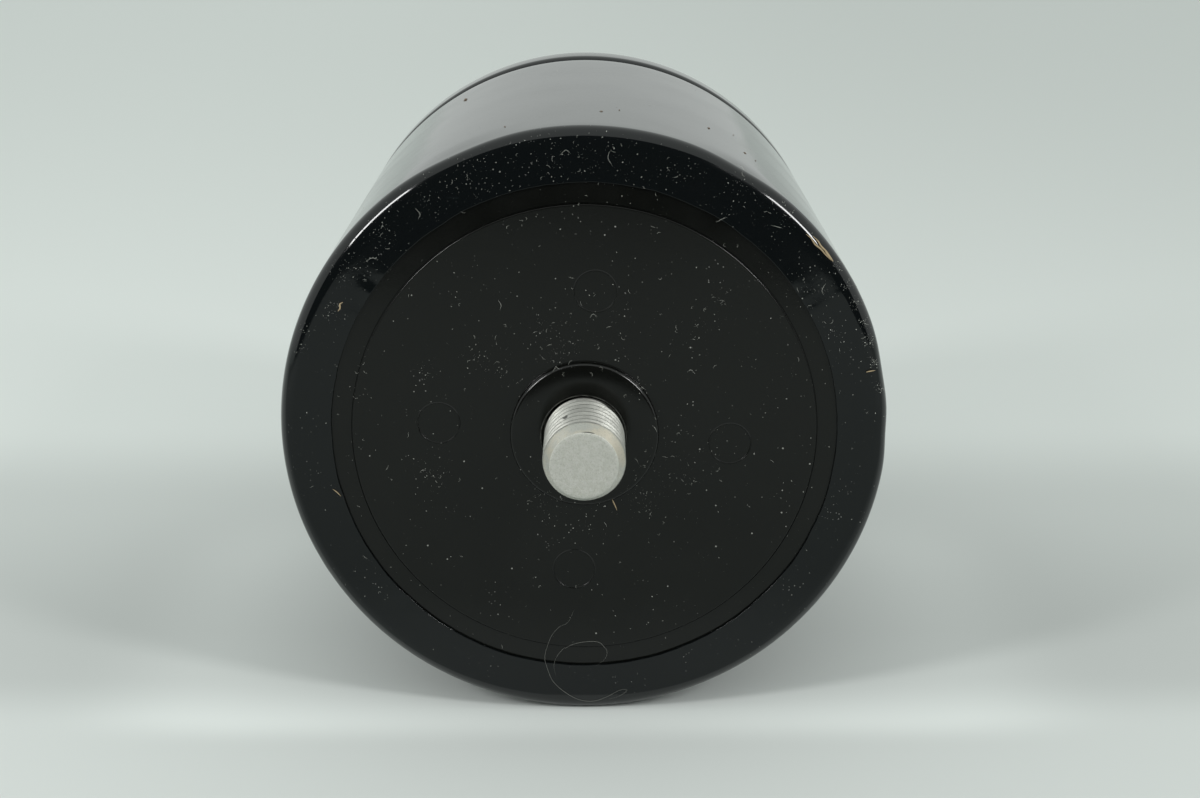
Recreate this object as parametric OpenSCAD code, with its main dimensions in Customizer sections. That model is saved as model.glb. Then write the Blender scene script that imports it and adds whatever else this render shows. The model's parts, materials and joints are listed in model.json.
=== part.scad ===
// Screw-terminal aluminium electrolytic capacitor with a mounting stud.
// It lies on its side: the can's axis is along +Y, the stud points along -Y and +Z is up.
// The origin is on the stud's axis, in the flat face of the base disc that seats on a chassis.

/* [Can] */
// Outside diameter of the aluminium can
can_d = 90.2; // [86:0.2:96]
// Length from the outer face of the can's floor to the top of the rolled rim
can_len = 93.3; // [91:0.1:140]
// Thickness of the can's wall
can_wall = 1.0; // [0.8:0.1:1.2]
// Thickness of the can's floor
can_floor = 2.5; // [2:0.1:3.5]
// Outside radius between floor and wall
can_corner_r = 1.2; // [0.6:0.1:1.8]
// Inside radius between floor and wall
can_fillet_r = 1.5; // [0.8:0.1:2]
// Distance from the top of the rolled rim down to the middle of the bead
bead_drop = 10.3; // [9:0.1:12]
// How far the bead is rolled in from the wall
bead_depth = 2.6; // [2:0.1:3]
// Outside radius of the bead's trough
bead_r = 1.8; // [1.4:0.1:2.4]
// Inside radius of the bends beside the bead
bend_r = 1.0; // [0.6:0.1:1.4]
// Outside radius of the rolled rim
curl_r = 1.7; // [1.5:0.1:2]

/* [Stud] */
// Major diameter of the stud's thread, an M12
stud_d = 11.9; // [9.9:0.1:12]
// Reach of the stud from the seating face of the base disc
stud_reach = 15.2; // [12:0.1:25]
// Length of the chamfer at the stud's end
stud_chamfer = 1.7; // [1:0.1:2.5]
// How far that chamfer cuts in, on the radius
stud_chamfer_w = 0.95; // [0.5:0.05:1.5]
// How far the neck below the thread is cut in, on the radius
stud_neck_cut = 0.75; // [0.3:0.05:1.2]
// Length of the taper from the thread to the neck
stud_runout = 0.6; // [0.2:0.1:1]
// Fillet at the root of the stud
stud_root_r = 0.8; // [0.2:0.1:1]

/* [Base disc] */
// Width of the ring between the can's wall and the raised face that seats on a chassis
ring_w = 10.65; // [8:0.05:14]
// Drop from that seating face to the ring, which the sleeve laps on
seat_step = 0.45; // [0.3:0.05:1]
// Slope of that ring, falling outwards, in degrees
ring_slope = 2.9; // [1:0.1:4]
// Radius of the disc's outer edge
disc_edge_r = 2.1; // [1.5:0.1:3]
// Diameter of the collar round the stud
collar_d = 22.1; // [18:0.1:26]
// Height of the collar's wall above the seating face
collar_h = 1.2; // [0.6:0.1:3]
// Further rise of the collar's face towards the stud
collar_rise = 0.7; // [0:0.1:1]
// Fillet round the collar's edge
collar_edge_r = 0.4; // [0.2:0.05:0.6]
// Gap between the stud and its hole, on the radius
stud_gap = 0.45; // [0.3:0.05:0.8]
// Diameter of an ejector pin's mark
mark_d = 6.2; // [4:0.1:8]
// Diameter of the circle that the four marks lie on
mark_pcd = 43.4; // [36:0.1:50]
// Turn of the marks from upright, clockwise as seen from the stud's end
mark_turn = 4.3; // [-45:0.1:45]
// Depth of an ejector pin's mark
mark_depth = 0.1; // [0.05:0.05:0.3]

/* [Sleeve] */
// Wall of the shrunk sleeve
sleeve_t = 0.4; // [0.2:0.05:0.5]
// Bare part of the ring, from the raised face to the sleeve's cut edge
lip_gap = 3.15; // [1:0.05:5]
// How far the sleeve laps round the rolled rim, in degrees past its outermost line
lap_angle = 132; // [96:12:144]

/* [Cover] */
// Thickness of the rubber sealing ring
seal_t = 2.0; // [1.5:0.1:2.5]
// Width of the rubber sealing ring
seal_w = 3.6; // [3.2:0.1:4.5]
// Gap between the cover and the can's wall
cover_gap = 0.05; // [0.05:0.05:0.2]
// Height of the cover's top above the ledge for the sealing ring
cover_top_h = 1.2; // [0.8:0.1:1.8]
// How far the cover reaches below the middle of the bead
cover_below = 2.0; // [1:0.1:4]
// Diameter of the raised seat round a terminal
boss_d = 21; // [19:0.5:24]
// Height of the raised seat round a terminal
boss_h = 1.4; // [0.5:0.1:2]
// Radius of the cover's upper edges
cover_edge_r = 0.4; // [0.2:0.05:0.6]
// Depth of the cored hollow under the cover
core_depth = 4; // [2:0.5:5]
// Width of that hollow
core_w = 8; // [6:0.5:10]
// Wall between that hollow and the cover's edge
core_wall = 2; // [1.5:0.1:3]
// Number of ribs across the hollow
rib_count = 12; // [8:4:16]
// Thickness of those ribs
rib_t = 1.6; // [1:0.1:2.5]
// Number of legs that hold the winding down
leg_count = 4; // [4:4:8]
// Diameter of a leg
leg_d = 5; // [3:0.5:6]

/* [Terminals] */
// Distance between the two terminals
terminal_pitch = 31.8; // [28:0.1:33]
// Diameter of a terminal's head
terminal_head_d = 17; // [15:0.5:18]
// Height of a terminal's head above its raised seat
terminal_head_h = 3.6; // [2:0.1:6]
// Diameter of a terminal's body inside the cover
terminal_body_d = 13; // [11:0.5:14]
// Width across corners of the hexagon that keys a terminal in the cover
terminal_key_d = 17.6; // [15:0.2:19]
// Thickness of that hexagon
terminal_key_t = 2.4; // [1:0.1:3]
// Diameter of a terminal's post inside the can
post_d = 9; // [8:0.5:10]
// Length of that post below the cover
post_len = 2; // [1:0.1:4]
// Bore of a terminal's M6 thread
thread_bore_d = 5; // [4:0.1:5.2]
// Depth of that bore
thread_depth = 10; // [8:0.1:10.5]
// Edge chamfer of a terminal's head
terminal_chamfer = 0.5; // [0.2:0.1:1]

/* [Vent] */
// Distance of the vent from the can's axis
vent_place = 22; // [20:0.5:26]
// Diameter of the vent's hole
vent_d = 8; // [6:0.5:9]
// Diameter of the plug's flange
vent_flange_d = 11.8; // [11:0.1:13]
// Thickness of the plug's flange
vent_flange_t = 1.8; // [1.2:0.1:2.5]
// Depth to which the plug's skirt goes down the hole
vent_skirt = 5; // [3:0.1:6]
// Wall and roof of the plug's skirt
vent_wall = 1.5; // [1:0.1:2]

/* [Winding] */
// Room for the tabs between the winding and the cover
tab_room = 12; // [10:0.5:20]
// Diameter of the hollow that the winding mandrel leaves
winding_core_d = 9; // [6:0.5:14]
// Gap between the wrapped winding and the can's wall
winding_gap = 0.7; // [0.5:0.1:1.5]
// Number of turns shown on the winding's ends
turn_count = 16; // [8:1:24]
// Depth of the grooves between those turns
turn_groove = 0.5; // [0.2:0.1:1]
// Thickness of the paper wrapped round the winding
wrap_t = 0.4; // [0.2:0.1:0.8]
// Thickness of the tape that closes the wrap
tape_t = 0.15; // [0.1:0.05:0.3]
// Width of the tape
tape_w = 19; // [10:1:25]
// Thickness of the insulating discs above and below the winding
insulator_t = 0.5; // [0.3:0.1:1]

/* [Tabs] */
// Thickness of a foil tab
tab_t = 0.3; // [0.2:0.05:0.4]
// Width of a foil tab
tab_w = 8; // [6:0.5:9]
// Distance of a tab's upright part from its terminal's axis
tab_reach = 12; // [11:0.5:13]
// Angle between neighbouring tabs at a terminal, in degrees
tab_fan_angle = 58; // [56:1:70]
// Inside radius of a tab's bend
tab_bend_r = 1; // [0.5:0.1:2]
// Length of a tab past its terminal's axis
tab_tail = 4.2; // [3.6:0.1:5]
// Diameter of the rivet's shank
rivet_d = 4; // [3:0.1:5]
// Length of the rivet's shank inside the terminal's post
rivet_grip = 4; // [2:0.1:5]
// Diameter of the rivet's domed head
rivet_head_d = 7.2; // [6:0.1:8]
// Height of the rivet's domed head
rivet_head_h = 1.6; // [1:0.1:2.5]
// Thickness of the washer under the rivet's head
washer_t = 1; // [0.5:0.1:1.5]
// Gap round a shank in its hole, on the radius
fit_gap = 0.05; // [0.02:0.01:0.1]

/* [Hidden] */
$fn = 96;

// Degrees of arc that one straight step of an outline stands for
arc_step = 12;
tabs_per_terminal = 3;

can_r = can_d / 2;
stud_r = stud_d / 2;
seat_r = can_r - ring_w;
lip_r = seat_r + lip_gap;
collar_r = collar_d / 2;

// Heights are along the can's axis, from the seating face towards the terminals
collar_top_z = -collar_h - collar_rise;
edge_x = can_r - disc_edge_r;
edge_z = ring_z(edge_x + disc_edge_r * sin(ring_slope)) + disc_edge_r * cos(ring_slope);
floor_z = edge_z + 0.02;
inside_z = floor_z + can_floor;
rim_z = floor_z + can_len;
bead_z = rim_z - bead_drop;
curl_x = can_r - curl_r;
curl_z = rim_z - curl_r;

// The bead is an arc between two bends, each tangent to it
shoulder_r = bend_r + can_wall;
bead_dx = shoulder_r + bead_r - bead_depth;
bead_dz = sqrt(pow(shoulder_r + bead_r, 2) - pow(bead_dx, 2));
bead_angle = atan2(bead_dz, bead_dx);

// Cover
cover_r = can_r - can_wall - cover_gap;
cover_core_r = can_r - bead_depth - can_wall - cover_gap;
cover_bottom_z = bead_z - cover_below;
ledge_z = curl_z - seal_t;
cover_top_z = ledge_z + cover_top_h;
seal_inner_r = cover_r - seal_w;
boss_z = cover_top_z + boss_h;
core_outer_r = cover_core_r - core_wall;
core_inner_r = core_outer_r - core_w;
leg_place = core_outer_r - core_w / 2;

// Terminals
terminal_x = terminal_pitch / 2;
terminal_top_z = boss_z + terminal_head_h;
key_z = (cover_bottom_z + cover_top_z - terminal_key_t) / 2;
post_z = cover_bottom_z - post_len;
stack_z = post_z - tabs_per_terminal * tab_t;
washer_z = stack_z - washer_t;

// Winding
winding_z = inside_z + insulator_t;
winding_top_z = cover_bottom_z - tab_room;
winding_h = winding_top_z - winding_z;
wrap_r = can_r - can_wall - winding_gap - tape_t;
winding_r = wrap_r - wrap_t;
lid_z = winding_top_z + insulator_t;

// Height of the base disc's sloping ring at a radius
function ring_z(r) = seat_step + (r - seat_r) * tan(ring_slope);

// Points along an arc, both ends included
function arc(centre, r, from, to) =
    let (steps = max(2, ceil(abs(to - from) / arc_step)))
    [for (i = [0:steps]) let (a = from + (to - from) * i / steps)
        centre + r * [cos(a), sin(a)]];

function reversed(points) = [for (i = [len(points) - 1:-1:0]) points[i]];

// Side of the can from below the bead to above it, set out from the can's outer face by grow
function bead_line(grow) = concat(
    arc([can_r - shoulder_r, bead_z - bead_dz], shoulder_r + grow, 0, bead_angle),
    arc([can_r - bead_depth + bead_r, bead_z], bead_r - grow, 180 + bead_angle, 180 - bead_angle),
    arc([can_r - shoulder_r, bead_z + bead_dz], shoulder_r + grow, -bead_angle, 0));

// The same side carried on round the rolled rim, as far as the angle end
function wall_line(grow, end) =
    concat(bead_line(grow), arc([curl_x, curl_z], curl_r + grow, 0, end));

// Corner of the base disc, set out by grow
function disc_corner(grow) =
    arc([edge_x, edge_z], disc_edge_r + grow, ring_slope - 90, 0);

// Lays the can's axis along +Y, with the stud towards -Y
module laid() {
    rotate([-90, 0, 0]) children();
}

module at_terminal(side) {
    translate([side * terminal_x, 0, 0]) children();
}

module can() {
    neck_r = stud_r - stud_neck_cut;
    tip_r = stud_r - stud_chamfer_w;
    outside = concat(
        [[0, -stud_reach], [tip_r, -stud_reach], [stud_r, stud_chamfer - stud_reach],
         [stud_r, collar_top_z], [neck_r, collar_top_z + stud_runout]],
        arc([neck_r + stud_root_r, floor_z - stud_root_r], stud_root_r, 180, 90),
        arc([can_r - can_corner_r, floor_z + can_corner_r], can_corner_r, -90, 0),
        wall_line(0, 180));
    inside = concat(
        [[0, inside_z]],
        arc([can_r - can_wall - can_fillet_r, inside_z + can_fillet_r], can_fillet_r, -90, 0),
        wall_line(-can_wall, 180));
    color("silver") laid()
        rotate_extrude() polygon(concat(outside, reversed(inside)));
}

module sleeve() {
    inner = concat([[lip_r, ring_z(lip_r)]], disc_corner(0), wall_line(0, lap_angle));
    outer = concat([[lip_r, ring_z(lip_r) - sleeve_t / cos(ring_slope)]],
        disc_corner(sleeve_t), wall_line(sleeve_t, lap_angle));
    color("#17181a") laid()
        rotate_extrude() polygon(concat(outer, reversed(inner)));
}

module base_disc() {
    hole_r = stud_r + stud_gap;
    profile = concat(
        [[hole_r, floor_z], [hole_r, collar_top_z]],
        arc([collar_r - collar_edge_r, collar_edge_r - collar_h], collar_edge_r, -90, 0),
        [[collar_r, 0], [seat_r, 0], [seat_r, seat_step]],
        disc_corner(0),
        [[can_r, floor_z]]);
    color("#2b2b2a") laid() difference() {
        rotate_extrude() polygon(profile);
        for (i = [0:3])
            rotate([0, 0, mark_turn + 90 * i]) translate([0, -mark_pcd / 2, -mark_depth])
                cylinder(d = mark_d, h = 2 * mark_depth);
    }
}

module seal_ring() {
    round_r = 0.3;
    outer_r = cover_r;
    color("#232326") laid() rotate_extrude() polygon(concat(
        arc([seal_inner_r + round_r, ledge_z + round_r], round_r, 180, 270),
        arc([outer_r - round_r, ledge_z + round_r], round_r, -90, 0),
        arc([outer_r - round_r, curl_z - round_r], round_r, 0, 90),
        arc([seal_inner_r + round_r, curl_z - round_r], round_r, 90, 180)));
}

// Outline of a terminal that the cover is moulded round, without its hexagon
module terminal_blank(grow) {
    translate([0, 0, cover_bottom_z - 1])
        cylinder(d = post_d + 2 * grow, h = key_z - cover_bottom_z + 1);
    translate([0, 0, key_z])
        cylinder(d = terminal_body_d + 2 * grow, h = boss_z + 1 - key_z);
    translate([0, 0, key_z - grow])
        cylinder(d = terminal_key_d + 2 * grow, h = terminal_key_t + 2 * grow, $fn = 6);
}

module cover_body() {
    outer = concat(
        [[cover_core_r, cover_bottom_z]],
        arc([can_r - bead_depth + bead_r, bead_z], bead_r + can_wall + cover_gap,
            180, 180 - bead_angle),
        arc([can_r - shoulder_r, bead_z + bead_dz], bend_r - cover_gap, -bead_angle, 0),
        [[cover_r, ledge_z], [seal_inner_r - cover_gap, ledge_z]],
        arc([seal_inner_r - cover_gap - cover_edge_r, cover_top_z - cover_edge_r],
            cover_edge_r, 0, 90));
    rotate_extrude() polygon(concat([[0, cover_bottom_z]], outer, [[0, cover_top_z]]));
}

// Hollow cored into the underside of the cover, less its ribs
module cover_hollow() {
    difference() {
        translate([0, 0, cover_bottom_z - 1]) difference() {
            cylinder(r = core_outer_r, h = core_depth + 1);
            translate([0, 0, -1]) cylinder(r = core_inner_r, h = core_depth + 3);
        }
        for (i = [0:rib_count - 1])
            rotate([0, 0, 360 * i / rib_count])
                translate([core_inner_r - 1, -rib_t / 2, cover_bottom_z - 2])
                    cube([core_outer_r - core_inner_r + 2, rib_t, core_depth + 3]);
    }
}

// Raised seat round a terminal
module boss() {
    boss_r = boss_d / 2;
    rotate_extrude() polygon(concat(
        [[0, cover_bottom_z + core_depth + 1], [boss_r, cover_bottom_z + core_depth + 1]],
        arc([boss_r - cover_edge_r, boss_z - cover_edge_r], cover_edge_r, 0, 90),
        [[0, boss_z]]));
}

// The legs stand between the lines of the terminals and the vent, clear of the tabs
module cover_deck() {
    color("#3a3530") laid() difference() {
        union() {
            difference() {
                cover_body();
                cover_hollow();
            }
            for (side = [-1, 1])
                at_terminal(side) boss();
            for (i = [0:leg_count - 1])
                rotate([0, 0, 360 * (i + 1 / 2) / leg_count])
                    translate([leg_place, 0, lid_z])
                        cylinder(d = leg_d, h = cover_bottom_z + core_depth + 1 - lid_z);
        }
        for (side = [-1, 1])
            at_terminal(side) terminal_blank(0);
        translate([0, -vent_place, 0]) {
            translate([0, 0, cover_bottom_z - 1])
                cylinder(d = vent_d, h = cover_top_z - cover_bottom_z + 2);
            translate([0, 0, cover_top_z - vent_flange_t])
                cylinder(d = vent_flange_d + 2 * fit_gap, h = vent_flange_t + 1);
        }
    }
}

module vent_plug() {
    color("#8a3a2c") laid() translate([0, -vent_place, cover_top_z - vent_flange_t])
        difference() {
            union() {
                cylinder(d = vent_flange_d, h = vent_flange_t);
                translate([0, 0, -vent_skirt])
                    cylinder(d = vent_d, h = vent_skirt + vent_flange_t / 2);
            }
            translate([0, 0, -vent_skirt - 1])
                cylinder(d = vent_d - 2 * vent_wall, h = vent_skirt + vent_flange_t + 1 - vent_wall);
        }
}

module terminal(side) {
    head_r = terminal_head_d / 2;
    bore_r = thread_bore_d / 2;
    countersink = 0.6;
    color("#c9cbcc") laid() at_terminal(side) difference() {
        union() {
            translate([0, 0, post_z]) cylinder(d = post_d, h = key_z - post_z + 1);
            translate([0, 0, key_z])
                cylinder(d = terminal_body_d, h = boss_z - key_z + 1);
            translate([0, 0, key_z])
                cylinder(d = terminal_key_d, h = terminal_key_t, $fn = 6);
            rotate_extrude() polygon([
                [0, boss_z], [head_r, boss_z], [head_r, terminal_top_z - terminal_chamfer],
                [head_r - terminal_chamfer, terminal_top_z], [0, terminal_top_z]]);
        }
        translate([0, 0, terminal_top_z - thread_depth])
            cylinder(r = bore_r, h = thread_depth + 1);
        translate([0, 0, terminal_top_z - countersink])
            cylinder(r1 = bore_r, r2 = bore_r + countersink * 2, h = countersink * 2);
        translate([0, 0, post_z - 1])
            cylinder(d = rivet_d + 2 * fit_gap, h = rivet_grip + 1 + fit_gap);
    }
}

module rivet(side) {
    head_r = rivet_head_d / 2;
    dome_r = (pow(head_r, 2) + pow(rivet_head_h, 2)) / (2 * rivet_head_h);
    dome_a = asin(head_r / dome_r);
    dome = arc([0, washer_z - rivet_head_h + dome_r], dome_r, -90, dome_a - 90);
    color("#b9bcc0") laid() at_terminal(side)
        rotate_extrude() polygon(concat(dome, [
            [rivet_d / 2, washer_z], [rivet_d / 2, post_z + rivet_grip],
            [0, post_z + rivet_grip]]));
}

module rivet_washer(side) {
    color("#b4b7ba") laid() at_terminal(side) translate([0, 0, washer_z])
        difference() {
            cylinder(d = post_d, h = washer_t);
            translate([0, 0, -1]) cylinder(d = rivet_d + 2 * fit_gap, h = washer_t + 2);
        }
}

// Turn of a foil tab about its terminal, the middle one pointing away from the can's axis
function tab_turn(side, i) = (side > 0 ? 0 : 180) + (i - (tabs_per_terminal - 1) / 2)
    * tab_fan_angle;

// One foil tab: level i in the stack under the post, then down to the winding's end
module tab(side, i) {
    top = post_z - i * tab_t;
    bend = [tab_reach - tab_t - tab_bend_r, top - tab_t - tab_bend_r];
    strip = concat(
        [[-tab_tail, top]],
        arc(bend, tab_bend_r + tab_t, 90, 0),
        [[tab_reach, winding_top_z], [tab_reach - tab_t, winding_top_z]],
        arc(bend, tab_bend_r, 0, 90),
        [[-tab_tail, top - tab_t]]);
    laid() at_terminal(side) rotate([0, 0, tab_turn(side, i)]) difference() {
        rotate([90, 0, 0]) linear_extrude(tab_w, center = true) polygon(strip);
        translate([0, 0, top - 2 * tab_t])
            cylinder(d = rivet_d + 2 * fit_gap, h = 3 * tab_t);
    }
}

module anode_tab(i) {
    color("#c6c9cc") tab(1, i);
}

module cathode_tab(i) {
    color("#aeb2b6") tab(-1, i);
}

module winding() {
    core_r = winding_core_d / 2;
    turn_w = (winding_r - core_r) / turn_count;
    groove_w = turn_w / 3;
    // Each turn is a flat with a groove beyond it, and the last turn has none
    function turns(z, depth) = [for (i = [0:turn_count - 2]) let (r = core_r + turn_w * (i + 1))
        each [[r - groove_w, z], [r - groove_w / 2, z + depth], [r, z]]];
    color("#b9a98a") laid() rotate_extrude() polygon(concat(
        [[core_r, winding_z]], turns(winding_z, turn_groove), [[winding_r, winding_z]],
        [[winding_r, winding_top_z]], reversed(turns(winding_top_z, -turn_groove)),
        [[core_r, winding_top_z]]));
}

module band(inner_r, thickness, from_z, height) {
    translate([0, 0, from_z]) difference() {
        cylinder(r = inner_r + thickness, h = height);
        translate([0, 0, -1]) cylinder(r = inner_r, h = height + 2);
    }
}

module winding_wrap() {
    color("#cdbf9c") laid() band(winding_r, wrap_t, winding_z, winding_h);
}

// Tape number i of two, set a quarter of the winding's height from its ends
module tape(i) {
    middle = winding_z + winding_h * (1 + 2 * i) / 4;
    color("#d8cfae") laid() band(wrap_r, tape_t, middle - tape_w / 2, tape_w);
}

module bottom_insulator() {
    color("#d5c8a4") laid() translate([0, 0, inside_z])
        cylinder(r = can_r - can_wall - can_fillet_r, h = insulator_t);
}

module top_insulator() {
    slot_gap = 0.4;
    color("#d5c8a4") laid() translate([0, 0, winding_top_z]) difference() {
        cylinder(r = winding_r, h = insulator_t);
        translate([0, 0, -1]) cylinder(d = winding_core_d, h = insulator_t + 2);
        for (side = [-1, 1], i = [0:tabs_per_terminal - 1])
            at_terminal(side) rotate([0, 0, tab_turn(side, i)])
                translate([tab_reach - tab_t - slot_gap, -tab_w / 2 - slot_gap, -1])
                    cube([tab_t + 2 * slot_gap, tab_w + 2 * slot_gap, insulator_t + 2]);
    }
}

can();
sleeve();
base_disc();
cover_deck();
seal_ring();
vent_plug();
terminal(1);  // terminal_positive
terminal(-1);  // terminal_negative
rivet(1);  // rivet_positive
rivet(-1);  // rivet_negative
rivet_washer(1);  // rivet_washer_positive
rivet_washer(-1);  // rivet_washer_negative
anode_tab(0);  // anode_tab_1
anode_tab(1);  // anode_tab_2
anode_tab(2);  // anode_tab_3
cathode_tab(0);  // cathode_tab_1
cathode_tab(1);  // cathode_tab_2
cathode_tab(2);  // cathode_tab_3
winding();
winding_wrap();
tape(0);  // tape_lower
tape(1);  // tape_upper
bottom_insulator();
top_insulator();
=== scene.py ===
"""Looks of a stud-mounted aluminium electrolytic capacitor, lying on its side."""

import json
import math
import random
import bpy
import bmesh
import numpy as np
from mathutils import Matrix, Vector, noise
from mathutils.geometry import delaunay_2d_cdt


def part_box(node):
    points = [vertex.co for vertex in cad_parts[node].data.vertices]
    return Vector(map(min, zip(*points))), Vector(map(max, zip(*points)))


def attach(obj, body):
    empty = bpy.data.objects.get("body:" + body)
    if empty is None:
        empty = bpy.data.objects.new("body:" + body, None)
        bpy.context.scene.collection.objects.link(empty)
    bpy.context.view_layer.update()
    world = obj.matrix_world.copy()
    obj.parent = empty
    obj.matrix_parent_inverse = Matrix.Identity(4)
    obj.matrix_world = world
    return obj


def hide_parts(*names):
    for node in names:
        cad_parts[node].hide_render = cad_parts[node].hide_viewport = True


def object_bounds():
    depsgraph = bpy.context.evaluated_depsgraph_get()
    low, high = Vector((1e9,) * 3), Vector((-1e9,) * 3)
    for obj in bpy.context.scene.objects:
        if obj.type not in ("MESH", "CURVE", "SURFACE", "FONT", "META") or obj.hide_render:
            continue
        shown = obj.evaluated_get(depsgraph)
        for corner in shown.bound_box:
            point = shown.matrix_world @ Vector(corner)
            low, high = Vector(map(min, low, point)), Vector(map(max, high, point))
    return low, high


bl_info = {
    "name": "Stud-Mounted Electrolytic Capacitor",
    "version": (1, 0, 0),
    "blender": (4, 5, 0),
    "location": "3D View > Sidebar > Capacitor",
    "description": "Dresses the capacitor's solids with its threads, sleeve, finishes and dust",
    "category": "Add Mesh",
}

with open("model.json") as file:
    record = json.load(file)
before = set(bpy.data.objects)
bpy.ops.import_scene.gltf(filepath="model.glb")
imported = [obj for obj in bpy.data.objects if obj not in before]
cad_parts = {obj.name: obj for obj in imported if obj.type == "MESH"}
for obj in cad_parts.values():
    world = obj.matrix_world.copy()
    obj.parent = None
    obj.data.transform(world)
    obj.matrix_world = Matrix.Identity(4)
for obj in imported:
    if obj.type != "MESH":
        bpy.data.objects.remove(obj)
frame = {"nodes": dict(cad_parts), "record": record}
CAD_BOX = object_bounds()

MM = 0.001
# The photo's own size in pixels, which its pixel coordinates below are in
PHOTO_WIDTH = 1200
PHOTO_HEIGHT = 798
SENSOR_WIDTH = 36

# Seeds of the sleeve's noises
SWELL_SEED, WAVE_SEED, RIPPLE_SEED = 1.0, 3.0, 8.0

# Columns round the axis of each turned piece
SLEEVE_COLUMNS = 360
DISC_COLUMNS = 360
CAN_COLUMNS = 240
BORE_COLUMNS = 96
MARK_COLUMNS = 64


def length(name, description, millimetres):
    """A size in the panel, given in millimetres and kept in metres."""
    return bpy.props.FloatProperty(
        name=name, description=description, default=millimetres * MM, unit="LENGTH", precision=5)


def angle(name, description, degrees):
    """An angle in the panel."""
    return bpy.props.FloatProperty(
        name=name, description=description, default=math.radians(degrees), unit="ROTATION")


def count(name, description, default):
    """A whole number in the panel."""
    return bpy.props.IntProperty(name=name, description=description, default=default, min=0)


def linear(hex_colour):
    """An sRGB hex colour as linear RGB."""
    channels = [int(hex_colour[i:i + 2], 16) / 255 for i in (1, 3, 5)]
    return tuple(c / 12.92 if c <= 0.04045 else ((c + 0.055) / 1.055) ** 2.4 for c in channels)


def colour(name, description, hex_colour):
    """A colour in the panel."""
    return bpy.props.FloatVectorProperty(
        name=name, description=description, default=linear(hex_colour), subtype="COLOR",
        size=3, min=0, max=1)


class CanSizes(bpy.types.PropertyGroup):
    """Sizes of the aluminium can and its stud."""

    wall: length("Wall", "Thickness of the can's wall", 1.0)
    floor: length("Floor", "Thickness of the can's floor", 2.5)
    corner_radius: length("Corner", "Outside radius between floor and wall", 1.2)
    fillet_radius: length("Fillet", "Inside radius between floor and wall", 1.5)
    bead_drop: length("Bead Drop", "From the top of the rolled rim to the middle of the bead", 10.3)
    bead_depth: length("Bead Depth", "How far the bead is rolled in", 2.6)
    bead_radius: length("Bead Radius", "Outside radius of the bead's trough", 1.8)
    bend_radius: length("Bend Radius", "Inside radius of the bends beside the bead", 1.0)
    curl_radius: length("Curl Radius", "Outside radius of the rolled rim", 1.7)
    stud_radius: length("Stud Radius", "Radius over the stud's thread", 5.95)
    stud_chamfer: length("Stud Chamfer", "Length of the chamfer at the stud's end", 1.95)
    stud_chamfer_width: length("Chamfer Width", "How far that chamfer cuts in", 1.1)
    neck_cut: length("Neck Cut", "How far the neck below the thread is cut in", 0.75)
    neck_runout: length("Neck Runout", "Length of the taper from thread to neck", 0.6)
    root_radius: length("Root Radius", "Fillet at the root of the stud", 0.8)
    thread_pitch: length("Thread Pitch", "Pitch of the stud's coarse M12 thread", 1.75)
    thread_depth: length("Thread Depth", "Depth of the stud's thread", 0.98)
    thread_start: length("Thread Start", "From the stud's end to the first crest on top", 1.6)
    thread_lead: length("Thread Lead", "Distance over which the first groove deepens", 0.9)
    thread_sunk: length("Thread Sunk", "How far the thread goes on inside the collar", 1.0)


class DiscSizes(bpy.types.PropertyGroup):
    """Sizes of the moulded base disc."""

    ring_width: length("Ring Width", "From the can's wall to the raised seating face", 10.65)
    seat_step: length("Seat Step", "Drop from the seating face to the ring", 0.45)
    ring_slope: angle("Ring Slope", "Slope of the ring", 2.9)
    edge_radius: length("Edge Radius", "Radius of the disc's outer edge", 2.1)
    collar_radius: length("Collar Radius", "Radius of the collar round the stud", 11.05)
    collar_height: length("Collar Height", "Height of the collar's wall", 1.2)
    collar_rise: length("Collar Rise", "Further rise of the collar's face to the stud", 0.7)
    collar_edge: length("Collar Edge", "Fillet round the collar's edge", 0.65)
    stud_gap: length("Stud Gap", "Gap between the stud and its hole", 0.27)
    hole_shift: length("Hole Shift", "How far the hole sits off the stud", 0.17)
    hole_turn: angle("Hole Turn", "Which way it sits off, to the left from the top", 62)
    groove_width: length("Groove Width", "Witness line at the foot of the seating face", 0.15)
    groove_depth: length("Groove Depth", "Depth of that line", 0.15)
    mark_radius: length("Mark Radius", "Radius of an ejector pin's mark", 3.1)
    mark_place: length("Mark Place", "Distance of the marks from the axis", 21.7)
    mark_turn: angle("Mark Turn", "Turn of the marks from upright", 4.3)
    mark_depth: length("Mark Depth", "Depth of an ejector pin's mark", 0.1)
    mark_flash: length("Mark Flash", "Height of the thin flash round a mark", 0.06)
    mark_flash_width: length("Flash Width", "Width of that flash", 0.14)
    soft_edge: length("Soft Edge", "Radius on the moulding's small edges", 0.15)


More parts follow.
